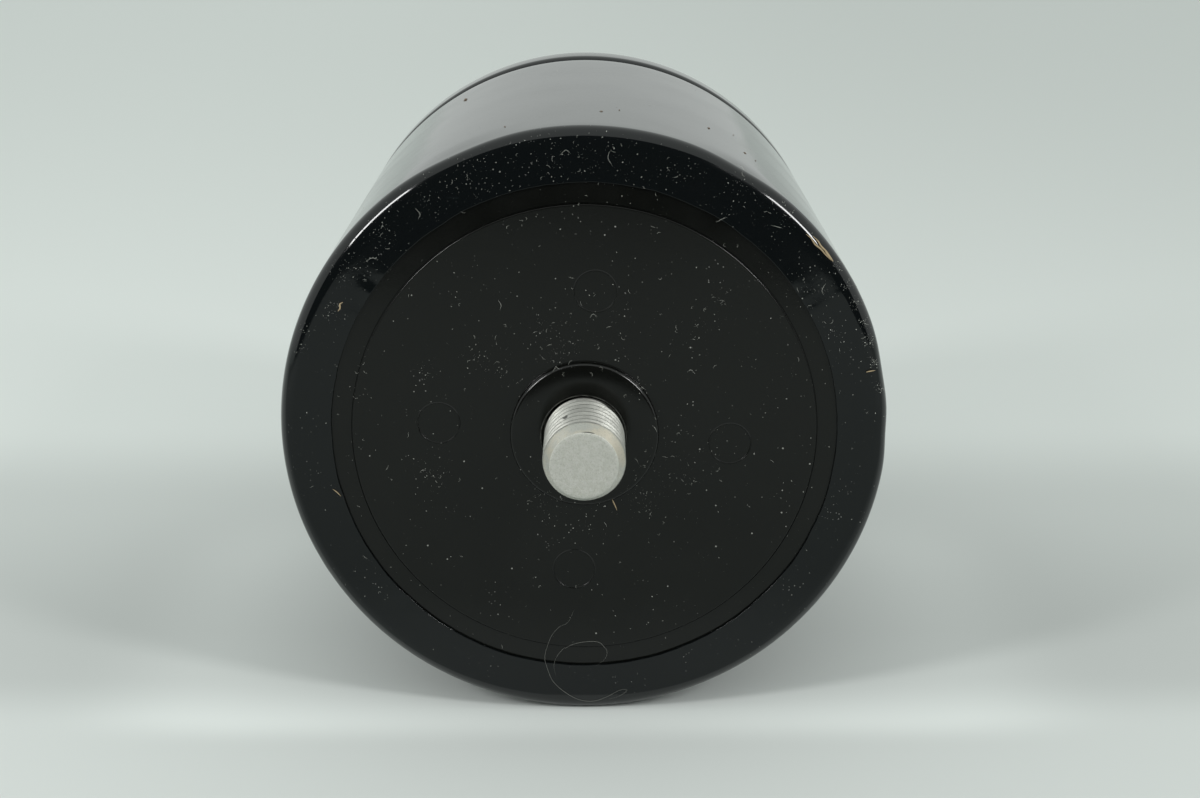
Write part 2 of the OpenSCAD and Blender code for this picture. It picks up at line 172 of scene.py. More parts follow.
class SleeveSizes(bpy.types.PropertyGroup):
    """Sizes of the shrunk sleeve and of what shrinking did to it."""

    thickness: length("Thickness", "Wall of the shrunk sleeve", 0.4)
    lip_gap: length("Lip Gap", "From the raised face to the sleeve's cut edge", 3.15)
    lap: angle("Rim Lap", "How far the sleeve laps round the rolled rim", 132)
    lip_wave: length("Lip Wave", "How far the cut edge wanders in and out", 0.16)
    lip_lift: length("Lip Lift", "How far the cut edge stands off the disc below", 0.16)
    lip_reach: length("Lip Reach", "How far those spread over the ring", 1.9)
    wave_span: length("Wave Span", "Distance between the cut edge's slow waves", 9)
    ripple_span: length("Ripple Span", "Distance between its fine ripples", 2.2)
    swell: length("Swell", "Depth of the shallow waves in the sleeve", 0.05)
    swell_span: length("Swell Span", "Distance between those waves", 17)
    dent: length("Dent", "Depth of the dents in the rim", 0.3)
    crease: length("Crease", "Height of the lay-flat creases", 0.018)
    crease_width: length("Crease Width", "Half-width of a crease", 1.1)
    crease_turn: angle("Crease Turn", "Place of the first crease, clockwise from the top", 61)


class TerminalSizes(bpy.types.PropertyGroup):
    """Sizes of the two threaded terminals."""

    head_radius: length("Head Radius", "Radius of a terminal's head", 8.5)
    head_height: length("Head Height", "Height of that head", 3.6)
    body_radius: length("Body Radius", "Radius inside the cover", 6.5)
    key_radius: length("Key Radius", "Corner radius of the hexagonal key", 8.8)
    key_thickness: length("Key Thickness", "Thickness of that hexagon", 2.4)
    post_radius: length("Post Radius", "Radius of the post inside the can", 4.5)
    post_length: length("Post Length", "Length of the post below the cover", 2)
    chamfer: length("Chamfer", "Edge chamfer of the head", 0.5)
    bore_radius: length("Bore Radius", "Crest radius of the M6 thread in the bore", 2.5)
    bore_depth: length("Bore Depth", "Depth of that bore", 10)
    countersink: length("Countersink", "Depth of the countersink at its mouth", 0.6)
    thread_pitch: length("Thread Pitch", "Pitch of the M6 thread", 1.0)
    thread_depth: length("Thread Depth", "Depth of the M6 thread", 0.5)
    rivet_hole: length("Rivet Hole", "Radius of the rivet's hole in the post", 2.05)
    rivet_grip: length("Rivet Grip", "Depth of that hole", 4.05)
    sign_size: length("Sign Size", "Span of a polarity sign on the cover", 7)
    sign_bar: length("Sign Bar", "Width of a sign's bars", 1.8)
    sign_height: length("Sign Height", "How far a sign stands up", 0.7)
    sign_place: length("Sign Place", "From a terminal's axis down to its sign", 15)


class VentSizes(bpy.types.PropertyGroup):
    """Sizes of the vent plug."""

    flange_thickness: length("Flange Thickness", "Thickness of the flange", 1.8)
    edge_radius: length("Flange Edge", "Radius on the flange's edge", 0.5)
    dish_radius: length("Dish Radius", "Radius of the shallow dish in its middle", 3)
    dish_depth: length("Dish Depth", "Depth of that dish", 0.6)
    skirt_radius: length("Skirt Radius", "Radius of the skirt in the cover's hole", 4)
    skirt_wall: length("Skirt Wall", "Wall of that skirt", 1.5)


class DirtSettings(bpy.types.PropertyGroup):
    """How much dust and lint lies on the part."""

    seed: count("Seed", "Seed of every random draw", 7)
    face_flecks: count("Face Flecks", "Dust flecks on the base disc", 620)
    ring_flecks: count("Ring Flecks", "Dust flecks on the sleeve's ring and rim", 420)
    patch_share: bpy.props.FloatProperty(
        name="Patch Share", description="Share of the flecks in each dusty patch that are laid",
        default=1.0, min=0, subtype="FACTOR")
    side_flecks: count("Side Flecks", "Dust flecks on the sleeve's side", 260)
    fibres: count("Fibres", "Short lint fibres on the stud end", 200)
    fleck_radius: length("Fleck Radius", "Radius of the largest flecks", 0.074)
    fibre_length: length("Fibre Length", "Length of the longest short fibres", 0.95)
    fibre_radius: length("Fibre Radius", "Radius of a lint fibre", 0.013)
    hair_radius: length("Hair Radius", "Radius of the long curled hair", 0.022)


class Colours(bpy.types.PropertyGroup):
    """Colours of the finishes."""

    sleeve: colour("Sleeve", "Black PVC of the sleeve", "#0b0e0f")
    disc: colour("Base Disc", "Black nylon of the base disc", "#0a0b09")
    # Grey of the painted highlight round the stud's hole in the base disc
    hole_edge_highlight: colour("Scuff", "Nylon scuffed by the stud", "#6d6d69")
    aluminium: colour("Aluminium", "Dull extruded aluminium", "#c6c7c0")
    worn: colour("Worn Aluminium", "Worn chamfer of the stud", "#efe9d8")
    terminal: colour("Terminal", "Turned aluminium", "#b9bcbc")
    foil: colour("Foil", "Aluminium foil tab", "#c9ccce")
    cover: colour("Cover", "Dark phenolic of the cover", "#2a2522")
    rubber: colour("Rubber", "Sealing rubber", "#1b1c1e")
    silicone: colour("Silicone", "Silicone of the vent plug", "#6d2c22")
    paper: colour("Paper", "Capacitor paper", "#cdbf9c")
    tape: colour("Tape", "Closing tape", "#d8cfae")
    board: colour("Pressboard", "Pressboard discs", "#d5c8a4")
    dust: colour("Dust", "Household dust and lint", "#bdbeb6")
    straw: colour("Straw", "Straw-coloured shreds", "#a08e70")
    grit: colour("Grit", "Brown grit on the sleeve's side", "#6f5840")
    floor: colour("Floor", "Matt paper under the part", "#edf2ef")
    # Shades of the two cards that paint reflected shade; the near table's paler shade is a painted lift
    # of light
    table: colour("Table", "Shaded table before the camera, far from the part", "#898e8b")
    near_table_painted_lift: colour("Near Table", "That table close to the part", "#aeb3b1")
    dark_room: colour("Dark Room", "Dark side of the room", "#080808")
    surroundings: colour("Surroundings", "Pale walls round the part", "#f7fdfa")


class StageSettings(bpy.types.PropertyGroup):
    """The camera, lamps and floor."""

    camera_place: bpy.props.FloatVectorProperty(
        name="Camera Place", description="Where the camera stands", subtype="TRANSLATION",
        default=(1.31 * MM, -270.38 * MM, 86.12 * MM), size=3, precision=5)
    camera_turn: angle("Camera Turn", "How far the camera turns to the right", 0.21)
    camera_dip: angle("Camera Dip", "How far the camera looks down", 16.638)
    focal_length: bpy.props.FloatProperty(
        name="Focal Length", description="Of the lens, in millimetres", default=57.275)
    world_level: bpy.props.FloatProperty(
        name="Surroundings", description="Brightness of the pale surroundings", default=0.7)
    lamp_power: bpy.props.FloatProperty(
        name="Lamp Power", description="Power of each side lamp", default=1.15, unit="POWER")
    lamp_length: length("Lamp Length", "Long side of each lamp", 190)
    lamp_width: length("Lamp Width", "Short side of each lamp", 90)
    lamp_tilt: angle("Lamp Tilt", "How far each lamp's long side dips outwards", 42)
    lamp_distance: length("Lamp Distance", "From the part to each lamp", 600)
    lamp_turn: angle("Lamp Turn", "From the camera's side round to each lamp", 53)
    lamp_rise: angle("Lamp Rise", "Height of each lamp above the part", 29.5)
    table_edge: length("Table Edge", "From the part to the shaded table before the camera", 3)
    dark_distance: length("Dark Distance", "From the part to the dark side of the room", 420)
    dark_width: length("Dark Width", "Width of that dark side", 1700)
    dark_height: length("Dark Height", "Height of that dark side above the part", 560)


GROUPS = {
    "capacitor_can": CanSizes,
    "capacitor_disc": DiscSizes,
    "capacitor_sleeve": SleeveSizes,
    "capacitor_terminals": TerminalSizes,
    "capacitor_vent": VentSizes,
    "capacitor_dirt": DirtSettings,
    "capacitor_colours": Colours,
    "capacitor_stage": StageSettings,
}


# Outlines: lists of (distance from the can's axis, place along it)

def arc(centre, radius, start, end, step=6.0):
    """Points along an arc, both ends included. Angles are in degrees."""
    steps = max(2, math.ceil(abs(end - start) / step))
    turns = [math.radians(start + (end - start) * i / steps) for i in range(steps + 1)]
    return [(centre[0] + radius * math.cos(t), centre[1] + radius * math.sin(t)) for t in turns]


def filled(points, spacing):
    """The same outline with straight stretches cut into pieces no longer than spacing."""
    result = [points[0]]
    for start, end in zip(points, points[1:]):
        pieces = max(1, math.ceil(math.dist(start, end) / spacing))
        result += [tuple(a + (b - a) * i / pieces for a, b in zip(start, end))
                   for i in range(1, pieces + 1)]
    return result


class Form:
    """Places that the pieces share, worked out from the frame and the panel's sizes."""

    def __init__(self, scene):
        self.can, self.disc = scene.capacitor_can, scene.capacitor_disc
        self.sleeve = scene.capacitor_sleeve
        can_low, can_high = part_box("can")
        self.can_radius = can_high.x
        self.stud_tip = can_low.y
        self.rim = can_high.y
        self.seat_radius = self.can_radius - self.disc.ring_width
        self.lip_radius = self.seat_radius + self.sleeve.lip_gap
        self.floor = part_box("base_disc")[1].y
        self.inside = self.floor + self.can.floor
        self.collar_top = -self.disc.collar_height - self.disc.collar_rise
        slope = self.disc.ring_slope
        self.edge = (self.can_radius - self.disc.edge_radius,
                     self.ring(self.can_radius - self.disc.edge_radius
                               + self.disc.edge_radius * math.sin(slope))
                     + self.disc.edge_radius * math.cos(slope))
        self.bead = self.rim - self.can.bead_drop
        self.curl = (self.can_radius - self.can.curl_radius, self.rim - self.can.curl_radius)

    def ring(self, radius):
        """Place of the disc's sloping ring at a radius."""
        return self.disc.seat_step + (radius - self.seat_radius) * math.tan(self.disc.ring_slope)

    def bead_line(self, grow):
        """The can's side from below the bead to above it, set out by grow."""
        can = self.can
        shoulder = can.bend_radius + can.wall
        across = shoulder + can.bead_radius - can.bead_depth
        along = math.sqrt((shoulder + can.bead_radius) ** 2 - across ** 2)
        turn = math.degrees(math.atan2(along, across))
        outer, trough = self.can_radius - shoulder, self.can_radius - can.bead_depth + can.bead_radius
        return (arc((outer, self.bead - along), shoulder + grow, 0, turn)
                + arc((trough, self.bead), can.bead_radius - grow, 180 + turn, 180 - turn)
                + arc((outer, self.bead + along), shoulder + grow, -turn, 0))

    def wall_line(self, grow, end):
        """That side carried on round the rolled rim, as far as the angle end."""
        return self.bead_line(grow) + arc(self.curl, self.can.curl_radius + grow, 0, end)

    def disc_corner(self, grow):
        """The disc's outer edge, set out by grow."""
        return arc(self.edge, self.disc.edge_radius + grow,
                   math.degrees(self.disc.ring_slope) - 90, 0, 4.0)

    def lip_rise(self, turn):
        """How far shrinking lifted the sleeve's cut edge off the disc, at turns about the axis."""
        fine = circle_noise(turn, np.zeros(len(turn)), self.sleeve.ripple_span, RIPPLE_SEED)
        below = 0.5 - 0.5 * np.cos(turn)
        return np.clip(self.sleeve.lip_lift * (0.25 + 0.75 * below) * (0.6 + 0.45 * fine), 0, None)

    def near_lip(self, radius):
        """How much of that a place on the sleeve's ring shares."""
        return math.exp(-((radius - self.lip_radius) / self.sleeve.lip_reach) ** 2)

    def front(self):
        """The stud end's surface from the collar out to the sleeve's side, as seen."""
        disc, thickness = self.disc, self.sleeve.thickness
        hole = self.can.stud_radius + disc.stud_gap
        inner = disc.collar_radius - disc.collar_edge
        return ([(hole, self.collar_top)]
                + arc((inner, disc.collar_edge - disc.collar_height), disc.collar_edge, -90, 0)
                + [(disc.collar_radius + MM * 0.01, 0), (self.seat_radius, 0),
                   (self.seat_radius + MM * 0.01, disc.seat_step),
                   (self.lip_radius, self.ring(self.lip_radius)),
                   (self.lip_radius + MM * 0.01, self.ring(self.lip_radius) - thickness)]
                + self.disc_corner(thickness)[:-1])


# Meshes

def around(columns):
    """Angles of the columns, clockwise from the top as seen from the stud's end."""
    return np.linspace(0, 2 * math.pi, columns, endpoint=False)


def turned(outline, columns, ring_closed=False):
    """An outline turned about the can's axis. A radius or place may be an array over the columns."""
    turn = around(columns)
    radius = np.array([np.broadcast_to(r, columns) for r, _ in outline])
    place = np.array([np.broadcast_to(y, columns) for _, y in outline])
    points = np.stack([radius * np.sin(turn), place, radius * np.cos(turn)], -1)
    rows = len(outline)
    row, column = np.meshgrid(np.arange(rows if ring_closed else rows - 1),
                              np.arange(columns), indexing="ij")
    below, beside = (row + 1) % rows, (column + 1) % columns
    faces = np.stack([row * columns + column, row * columns + beside,
                      below * columns + beside, below * columns + column], -1)
    return points.reshape(-1, 3), faces.reshape(-1, 4).tolist()


# One pitch of a thread: share of the pitch from a crest's middle, and share of the depth
THREAD_SHAPE = ((0.0, 0.0), (0.05, 0.0), (0.075, 0.035), (0.13, 0.2), (0.26, 0.56),
                (0.37, 0.87), (0.41, 0.96), (0.45, 1.0), (0.5, 1.0))
THREAD_STATIONS = [s for s, _ in THREAD_SHAPE] + [1 - s for s, _ in THREAD_SHAPE[-2:0:-1]]
THREAD_SHARES = [d for _, d in THREAD_SHAPE] + [d for _, d in THREAD_SHAPE[-2:0:-1]]


def thread_share(place, turn, pitch):
    """Depth share of a right-hand thread at a place along the axis and a turn about it."""
    phase = (place / pitch - turn / (2 * math.pi)) % 1
    return np.interp(phase, THREAD_STATIONS + [1.0], THREAD_SHARES + [THREAD_SHARES[0]])


def threaded(radius_at, pitch, start, end, columns, crest=0.0):
    """A threaded stretch whose rows follow the helix, flat at both ends.
    radius_at(place, turn) gives its surface, and crest is the place of a crest on top."""
    turn = around(columns)
    first = math.floor((start - crest) / pitch) - 1
    last = math.ceil((end - crest) / pitch) + 1
    stations = [(n + s) * pitch + crest for n in range(first, last) for s in THREAD_STATIONS]
    rows, per_pitch = len(stations), len(THREAD_STATIONS)
    place = np.clip(np.array(stations)[:, None] + pitch * turn / (2 * math.pi), start, end)
    radius = radius_at(place, np.broadcast_to(turn, place.shape))
    points = np.stack([radius * np.sin(turn), place, radius * np.cos(turn)], -1)
    faces = []
    for row in range(rows - 1):
        for column in range(columns):
            over = per_pitch if column == columns - 1 else 0
            beside = (column + 1) % columns
            near, far = min(row + over, rows - 1), min(row + 1 + over, rows - 1)
            faces.append((row * columns + column, near * columns + beside,
                          far * columns + beside, (row + 1) * columns + column))
    return points.reshape(-1, 3), faces


def joined(parts):
    """Several (points, faces) as one."""
    points, faces, offset = [], [], 0
    for part_points, part_faces in parts:
        points.append(np.asarray(part_points))
        faces += [tuple(i + offset for i in face) for face in part_faces]
        offset += len(part_points)
    return np.concatenate(points), faces


def make_piece(name, points, faces, slot, replaced=(), finish=None, sharp=38, origin=(0, 0, 0)):
    """Makes a piece from a mesh, with its seams welded, and sets it on the part at its origin.
    Without a finish of its own it takes its slot's. Edges over the angle sharp stay crisp."""
    mesh = bpy.data.meshes.new(name)
    mesh.from_pydata([tuple(p) for p in points], [], faces)
    work = bmesh.new()
    work.from_mesh(mesh)
    bmesh.ops.remove_doubles(work, verts=work.verts, dist=0.0005 * MM)
    bmesh.ops.dissolve_degenerate(work, edges=work.edges, dist=0.0002 * MM)
    bmesh.ops.recalc_face_normals(work, faces=work.faces)
    work.to_mesh(mesh)
    work.free()
    mesh.polygons.foreach_set("use_smooth", [True] * len(mesh.polygons))
    mesh.set_sharp_from_angle(angle=math.radians(sharp))
    mesh.materials.append(finish or finish_for(bpy.context.scene, slot))
    piece = bpy.data.objects.new(name, mesh)
    piece.location = origin
    bpy.context.scene.collection.objects.link(piece)
    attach(piece, "root")
    if replaced:
        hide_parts(*replaced)
    return piece


def dress(node_name, slot):
    """Gives a solid of the frame its slot's finish."""
    node = frame["nodes"][node_name]
    finish = finish_for(bpy.context.scene, slot)
    if node.material_slots:
        for material_slot in node.material_slots:
            material_slot.material = finish
    else:
        node.data.materials.append(finish)


def circle_noise(turn, places, span, seed):
    """Smooth noise from -1 to 1 that closes on itself round the can. Sizes are in metres."""
    radius = CAD_BOX[1].x
    return np.array([noise.noise(Vector((radius * math.sin(t) / span + seed,
                                         radius * math.cos(t) / span, p / span)))
                     for t, p in zip(turn, places)])


# Materials

# Settings that the masks and mixes share
SOFT = {"interpolation_type": "SMOOTHSTEP"}
TIMES = {"operation": "MULTIPLY"}
LARGER = {"operation": "MAXIMUM"}
TINTS = {"data_type": "RGBA"}


def link(tree, source, socket):
    """Feeds a socket from another one, or from a node's first open output."""
    if isinstance(source, bpy.types.Node):
        source = next(s for s in source.outputs if s.enabled)
    tree.links.new(source, socket)


def add(tree, kind, inputs=(), **settings):
    """Adds a node with its settings. inputs gives its sockets values, or the nodes or sockets that
    feed them: by name, or in order if it is a tuple."""
    node = tree.nodes.new("ShaderNode" + kind)
    for name, value in settings.items():
        setattr(node, name, value)
    if isinstance(inputs, dict):
        pairs = [(node.inputs[name], value) for name, value in inputs.items()]
    else:
        pairs = zip([s for s in node.inputs if s.enabled], inputs)
    for socket, value in pairs:
        if isinstance(value, (bpy.types.Node, bpy.types.NodeSocket)):
            link(tree, value, socket)
        else:
            socket.default_value = value
    return node


def new_finish(name, **values):
    """A material with one shader, whose even values are set on its own sockets."""
    material = bpy.data.materials.new(name)
    material.use_nodes = True
    tree = material.node_tree
    tree.nodes.clear()
    shader = add(tree, "BsdfPrincipled", {key.replace("_", " "): v for key, v in values.items()})
    add(tree, "OutputMaterial", {"Surface": shader})
    where = add(tree, "TexCoord").outputs["Object"]
    return material, tree, shader, where


def feed(tree, shader, **patterns):
    """Links patterns to the shader's sockets."""
    for key, pattern in patterns.items():
        link(tree, pattern, shader.inputs[key.replace("_", " ")])


def raised(tree, shader, *layers):
    """Bumps on the shader, finest last: (height, depth in metres)."""
    below = {}
    for height, depth in layers:
        bump = add(tree, "Bump", {"Height": height, "Distance": depth, "Strength": 1.0, **below})
        below = {"Normal": bump}
    feed(tree, shader, **below)


def opaque(rgb):
    """A colour with full alpha."""
    return (*rgb, 1.0)


def toned(rgb, factor):
    """A lighter or darker colour."""
    return opaque([min(1.0, c * factor) for c in rgb])


def grain(tree, where, size, detail=3.0, stretch=(1, 1, 1), roughness=0.55):
    """Fractal noise with grains of a size in metres, from 0 to 1. stretch lengthens it on an axis."""
    scaled = add(tree, "Mapping", {"Vector": where, "Scale": [1 / s for s in stretch]})
    return add(tree, "TexNoise", {"Vector": scaled, "Scale": 1 / size, "Detail": detail,
                                  "Roughness": roughness})


def specks(tree, where, spacing, share, radius):
    """Mask of scattered round specks, one in each cell and kept in that share of the cells."""
    cells = add(tree, "TexVoronoi", {"Vector": where, "Scale": 1 / spacing})
    draws = add(tree, "SeparateColor", {"Color": cells.outputs["Color"]})
    kept = add(tree, "Math", (draws.outputs["Red"], share), operation="LESS_THAN")
    reach = add(tree, "Math", (draws.outputs["Green"], radius / spacing), **TIMES)
    inside = add(tree, "Math", (cells.outputs["Distance"], reach), operation="LESS_THAN")
    return add(tree, "Math", (kept, inside), **TIMES)


def spot(tree, where, place, reach, stretch):
    """Mask of one soft-edged spot at a place, drawn out on each axis by stretch."""
    away = add(tree, "VectorMath", (where, place), operation="SUBTRACT")
    away = add(tree, "VectorMath", (away, tuple(1 / s for s in stretch)), **TIMES)
    distance = add(tree, "VectorMath", (away,), operation="LENGTH")
    return add(tree, "MapRange", (distance, reach * 0.6, reach, 1.0, 0.0), **SOFT)


def settled_dust(tree, where, open_share, spacing, share, radius):
    """Mask of dust: fine specks that lie in drifts, and larger ones scattered all over.
    Real dust is finer than this, and is drawn so coarse that it shows."""
    drifts = add(tree, "MapRange", (grain(tree, where, 9 * MM, 4), 0.62 - open_share * 0.3, 0.75), **SOFT)
    film = add(tree, "Math", (drifts, specks(tree, where, 0.42 * MM, 0.35, 0.1 * MM)), **TIMES)
    return add(tree, "Math", (film, specks(tree, where, spacing, share, radius)), **LARGER)


def shrunk_pvc(scene):
    """Heat-shrunk PVC sleeve. Shrinking leaves it glossy, with a faint orange peel, fine draw lines
    along it, a few scuffs round it, and dust that lies dull on the gloss."""
    colours = scene.capacitor_colours
    material, tree, shader, where = new_finish("shrunk_pvc", IOR=1.54)
    peel = grain(tree, where, 1.6 * MM, 2)
    lines = grain(tree, where, 0.5 * MM, 2, stretch=(1, 60, 1))
    dust = settled_dust(tree, where, 0.55, 1.5 * MM, 0.2, 0.12 * MM)
    scratches = grain(tree, where, 1.1 * MM, 4, stretch=(5, 1, 1))
    scratched = add(tree, "MapRange", (scratches, 0.66, 0.74), **SOFT)
    rubbed = add(tree, "MapRange", (grain(tree, where, 20 * MM, 2), 0.5, 0.66), **SOFT)
    scuffs = add(tree, "Math", (scratched, rubbed), **TIMES)
    black = add(tree, "Mix", (scuffs, opaque(colours.sleeve), toned(colours.sleeve, 3.5)), **TINTS)
    gloss = add(tree, "MapRange", (grain(tree, where, 14 * MM, 5), 0.3, 0.75, 0.06, 0.13), **SOFT)
    dull = add(tree, "Math", (dust, 0.8), **TIMES)
    feed(tree, shader,
         Base_Color=add(tree, "Mix", (dust, black, toned(colours.dust, 0.4)), **TINTS),
         Roughness=add(tree, "Math", (gloss, dull), **LARGER))
    raised(tree, shader, (peel, 0.004 * MM), (lines, 0.0012 * MM), (dust, 0.03 * MM))
    return material


def moulded_nylon(scene):
    """Injection-moulded black nylon. A spark-eroded mould gives it a fine grain that dulls the
    gloss, over slow flow marks. A painted highlight lies as a pale ring round the edge of the stud's
    hole."""
    colours, disc = scene.capacitor_colours, scene.capacitor_disc
    material, tree, shader, where = new_finish("moulded_nylon", IOR=1.53)
    cloud = grain(tree, where, 11 * MM, 5)
    flow = grain(tree, where, 5 * MM, 3)
    # Real spark erosion is about 0.03 mm across, and is drawn coarser so that it shows
    erosion = grain(tree, where, 0.16 * MM, 3)
    dust = settled_dust(tree, where, 0.35, 1.4 * MM, 0.28, 0.13 * MM)
    # Painted highlight: a pale, broken ring just outside the stud's hole, where its edge catches light
    hole = scene.capacitor_can.stud_radius + disc.stud_gap
    centre = (-disc.hole_shift * math.sin(disc.hole_turn), 0, disc.hole_shift * math.cos(disc.hole_turn))
    flat = add(tree, "VectorMath", (where, (1, 0, 1)), **TIMES)
    distance = add(tree, "VectorMath", (flat, centre), operation="DISTANCE")
    edge = add(tree, "MapRange", (distance, hole + 0.08 * MM, hole + 0.2 * MM, 1.0, 0.0), **SOFT)
    broken = add(tree, "MapRange", (grain(tree, where, 0.8 * MM), 0.35, 0.55, 0.15, 0.8), **SOFT)
    painted_hole_highlight = add(tree, "Math", (edge, broken), **TIMES)
    clouded = add(tree, "MapRange", (cloud, 0.35, 0.7), **SOFT)
    black = add(tree, "Mix", (clouded, opaque(colours.disc), toned(colours.disc, 1.25)), **TINTS)
    black = add(tree, "Mix", (painted_hole_highlight, black, opaque(colours.hole_edge_highlight)), **TINTS)
    gloss = add(tree, "MapRange", (cloud, 0.3, 0.7, 0.14, 0.21), **SOFT)
    dull = add(tree, "Math", (dust, 0.85), **TIMES)
    feed(tree, shader,
         Base_Color=add(tree, "Mix", (dust, black, toned(colours.dust, 0.45)), **TINTS),
         Roughness=add(tree, "Math", (gloss, dull), **LARGER))
    raised(tree, shader, (flow, 0.004 * MM), (erosion, 0.0035 * MM), (dust, 0.02 * MM))
    return material


# Dark marks that handling left on the stud's thread and at its chamfer's edge: place, reach and
# stretch, in millimetres
NICKS = (((-2.77, -8.55, 5.25), 0.3, (1.7, 1.2, 2)), ((0.95, -15.02, 4.9), 0.12, (13, 1, 2)))


def extruded_aluminium(scene):
    """Impact-extruded pure aluminium. The press leaves it dull and finely pitted, dark in the pits.
    The stud's cropped end is paler and mottled, and its chamfer is worn to a warm white. On the
    chamfer's lower side the end's pale colour is a painted highlight."""
    bare = scene.capacitor_colours.aluminium
    material, tree, shader, where = new_finish("extruded_aluminium", Metallic=1.0)
    tip = CAD_BOX[0].y
    place = add(tree, "SeparateXYZ", (where,))
    along, up = place.outputs["Y"], place.outputs["Z"]
    chamfered = add(tree, "MapRange", (along, tip + 1.6 * MM, tip + 2 * MM, 1.0, 0.0), **SOFT)
    # Painted highlight: below, the chamfer takes the end's pale mottled colour
    painted_lower_highlight = add(tree, "MapRange", (up, -3 * MM, 2.5 * MM, 0.85, 0.0), **SOFT)
    painted_lower_highlight = add(tree, "Math", (chamfered, painted_lower_highlight), **TIMES)
    pale_end_and_painted_highlight = add(tree, "MapRange", (along, tip + 0.04 * MM, tip + 0.2 * MM, 1.0, 0.0), **SOFT)
    pale_end_and_painted_highlight = add(tree, "Math", (pale_end_and_painted_highlight, painted_lower_highlight), **LARGER)
    pits = grain(tree, where, 0.24 * MM, 4)
    broad = grain(tree, where, 2.6 * MM, 4)
    mottle = grain(tree, where, 0.55 * MM, 5, roughness=0.75)
    mottle = add(tree, "MapRange", (mottle, 0.35, 0.65), **SOFT)
    clouded = add(tree, "MapRange", (broad, 0.35, 0.7), **SOFT)
    warmed = add(tree, "MapRange", (broad, 0.35, 0.65), **SOFT)
    grey = add(tree, "Mix", (clouded, toned(bare, 0.86), toned(bare, 1.08)), **TINTS)
    worn = add(tree, "Mix", (warmed, toned(bare, 1.3), opaque(scene.capacitor_colours.worn)), **TINTS)
    pale = add(tree, "Mix", (mottle, toned(bare, 1.58), toned(bare, 1.8)), **TINTS)
    metal = add(tree, "Mix", (chamfered, grey, worn), **TINTS)
    metal = add(tree, "Mix", (pale_end_and_painted_highlight, metal, pale), **TINTS)
    dark = add(tree, "MapRange", (pits, 0.36, 0.5, 0.14, 0.0), **SOFT)
    metal = add(tree, "Mix", (dark, metal, toned(bare, 0.55)), **TINTS)
    for middle, reach, stretch in NICKS:
        nick = spot(tree, where, [c * MM for c in middle], reach * MM, stretch)
        nick = add(tree, "Math", (nick, 0.8), **TIMES)
        metal = add(tree, "Mix", (nick, metal, toned(bare, 0.06)), **TINTS)
    dullness = add(tree, "MapRange", (pits, 0.3, 0.7, 0.6, 0.48), **SOFT)
    duller = add(tree, "Math", (pale_end_and_painted_highlight, 0.2), **TIMES)
    feed(tree, shader, Base_Color=metal, Roughness=add(tree, "Math", (dullness, duller), operation="ADD"))
    raised(tree, shader, (broad, 0.02 * MM), (pits, 0.028 * MM))
    return material


def turned_aluminium(name, rgb):
    """Lathe-turned aluminium. The tool leaves it bright, with fine rings round its axis.
    Real feed marks are about 0.05 mm apart, and are drawn at 0.16 mm so that they show."""
    material, tree, shader, where = new_finish(name, Metallic=1.0)
    flat = add(tree, "VectorMath", (where, (1, 0, 1)), **TIMES)
    radius = add(tree, "VectorMath", (flat,), operation="LENGTH")
    rings = add(tree, "TexNoise", {"W": radius.outputs["Value"], "Scale": 1 / (0.16 * MM), "Detail": 2.0},
                noise_dimensions="1D")
    cloud = grain(tree, where, 3 * MM, 4)
    feed(tree, shader,
         Base_Color=add(tree, "Mix", (cloud, toned(rgb, 0.86), toned(rgb, 1.08)), **TINTS),
         Roughness=add(tree, "MapRange", (cloud, 0.3, 0.7, 0.27, 0.42), **SOFT))
    raised(tree, shader, (rings, 0.012 * MM))
    return material


# Finishes with one grain, by slot: name, colour, how light it is, roughness, IOR, and the grain's
# size and depth in millimetres. A metal has no IOR here, and keeps its own.
PLAIN_FINISHES = {
    # Rolled foil is bright, with a faint rolling grain
    "tab_foil": ("rolled_foil", "foil", 1.0, 0.3, None, 0.3, 0.004),
    # Moulded phenolic has a hard, dull sheen and a fine filler grain
    "cover_plastic": ("moulded_phenolic", "cover", 1.0, 0.42, 1.6, 0.2, 0.006),
    # Moulded rubber is matt and slightly rough
    "seal_rubber": ("moulded_rubber", "rubber", 1.0, 0.7, 1.52, 0.15, 0.008),
    # Moulded silicone is smoother than rubber, with a soft sheen
    "vent_silicone": ("moulded_silicone", "silicone", 1.0, 0.5, 1.41, 0.3, 0.005),
    # Paper soaked and wound with foil shows its fibres, a little darker than dry paper
    "winding_paper": ("wound_paper", "paper", 0.85, 0.85, 1.5, 0.12, 0.02),
    # Dry wrapping paper is smoother and paler
    "wrap_paper": ("wrapping_paper", "paper", 1.0, 0.8, 1.5, 0.2, 0.012),
    # Film tape has a low sheen
    "closing_tape": ("closing_tape", "tape", 1.0, 0.4, 1.5, 0.4, 0.005),
    # Pressed board is matt and fibrous
    "pressboard": ("pressed_board", "board", 1.0, 0.85, 1.5, 0.25, 0.02),
}

# What lies on the part, in the same order
DIRT_FINISHES = {
    # Cotton lint is matt and pale
    "lint": ("cotton_lint", "dust", 1.0, 0.9, 1.5, 0.08, 0.004),
    # A hair is thin and half clear, so it shows darker, with a low sheen
    "hair": ("pale_hair", "dust", 0.4, 0.5, 1.55, 0.2, 0.002),
    # Dry straw is matt and fibrous
    "straw": ("straw_shred", "straw", 1.0, 0.8, 1.5, 0.1, 0.01),
    # Grit is matt and rough
    "grit": ("brown_grit", "grit", 1.0, 0.8, 1.5, 0.1, 0.01),
}


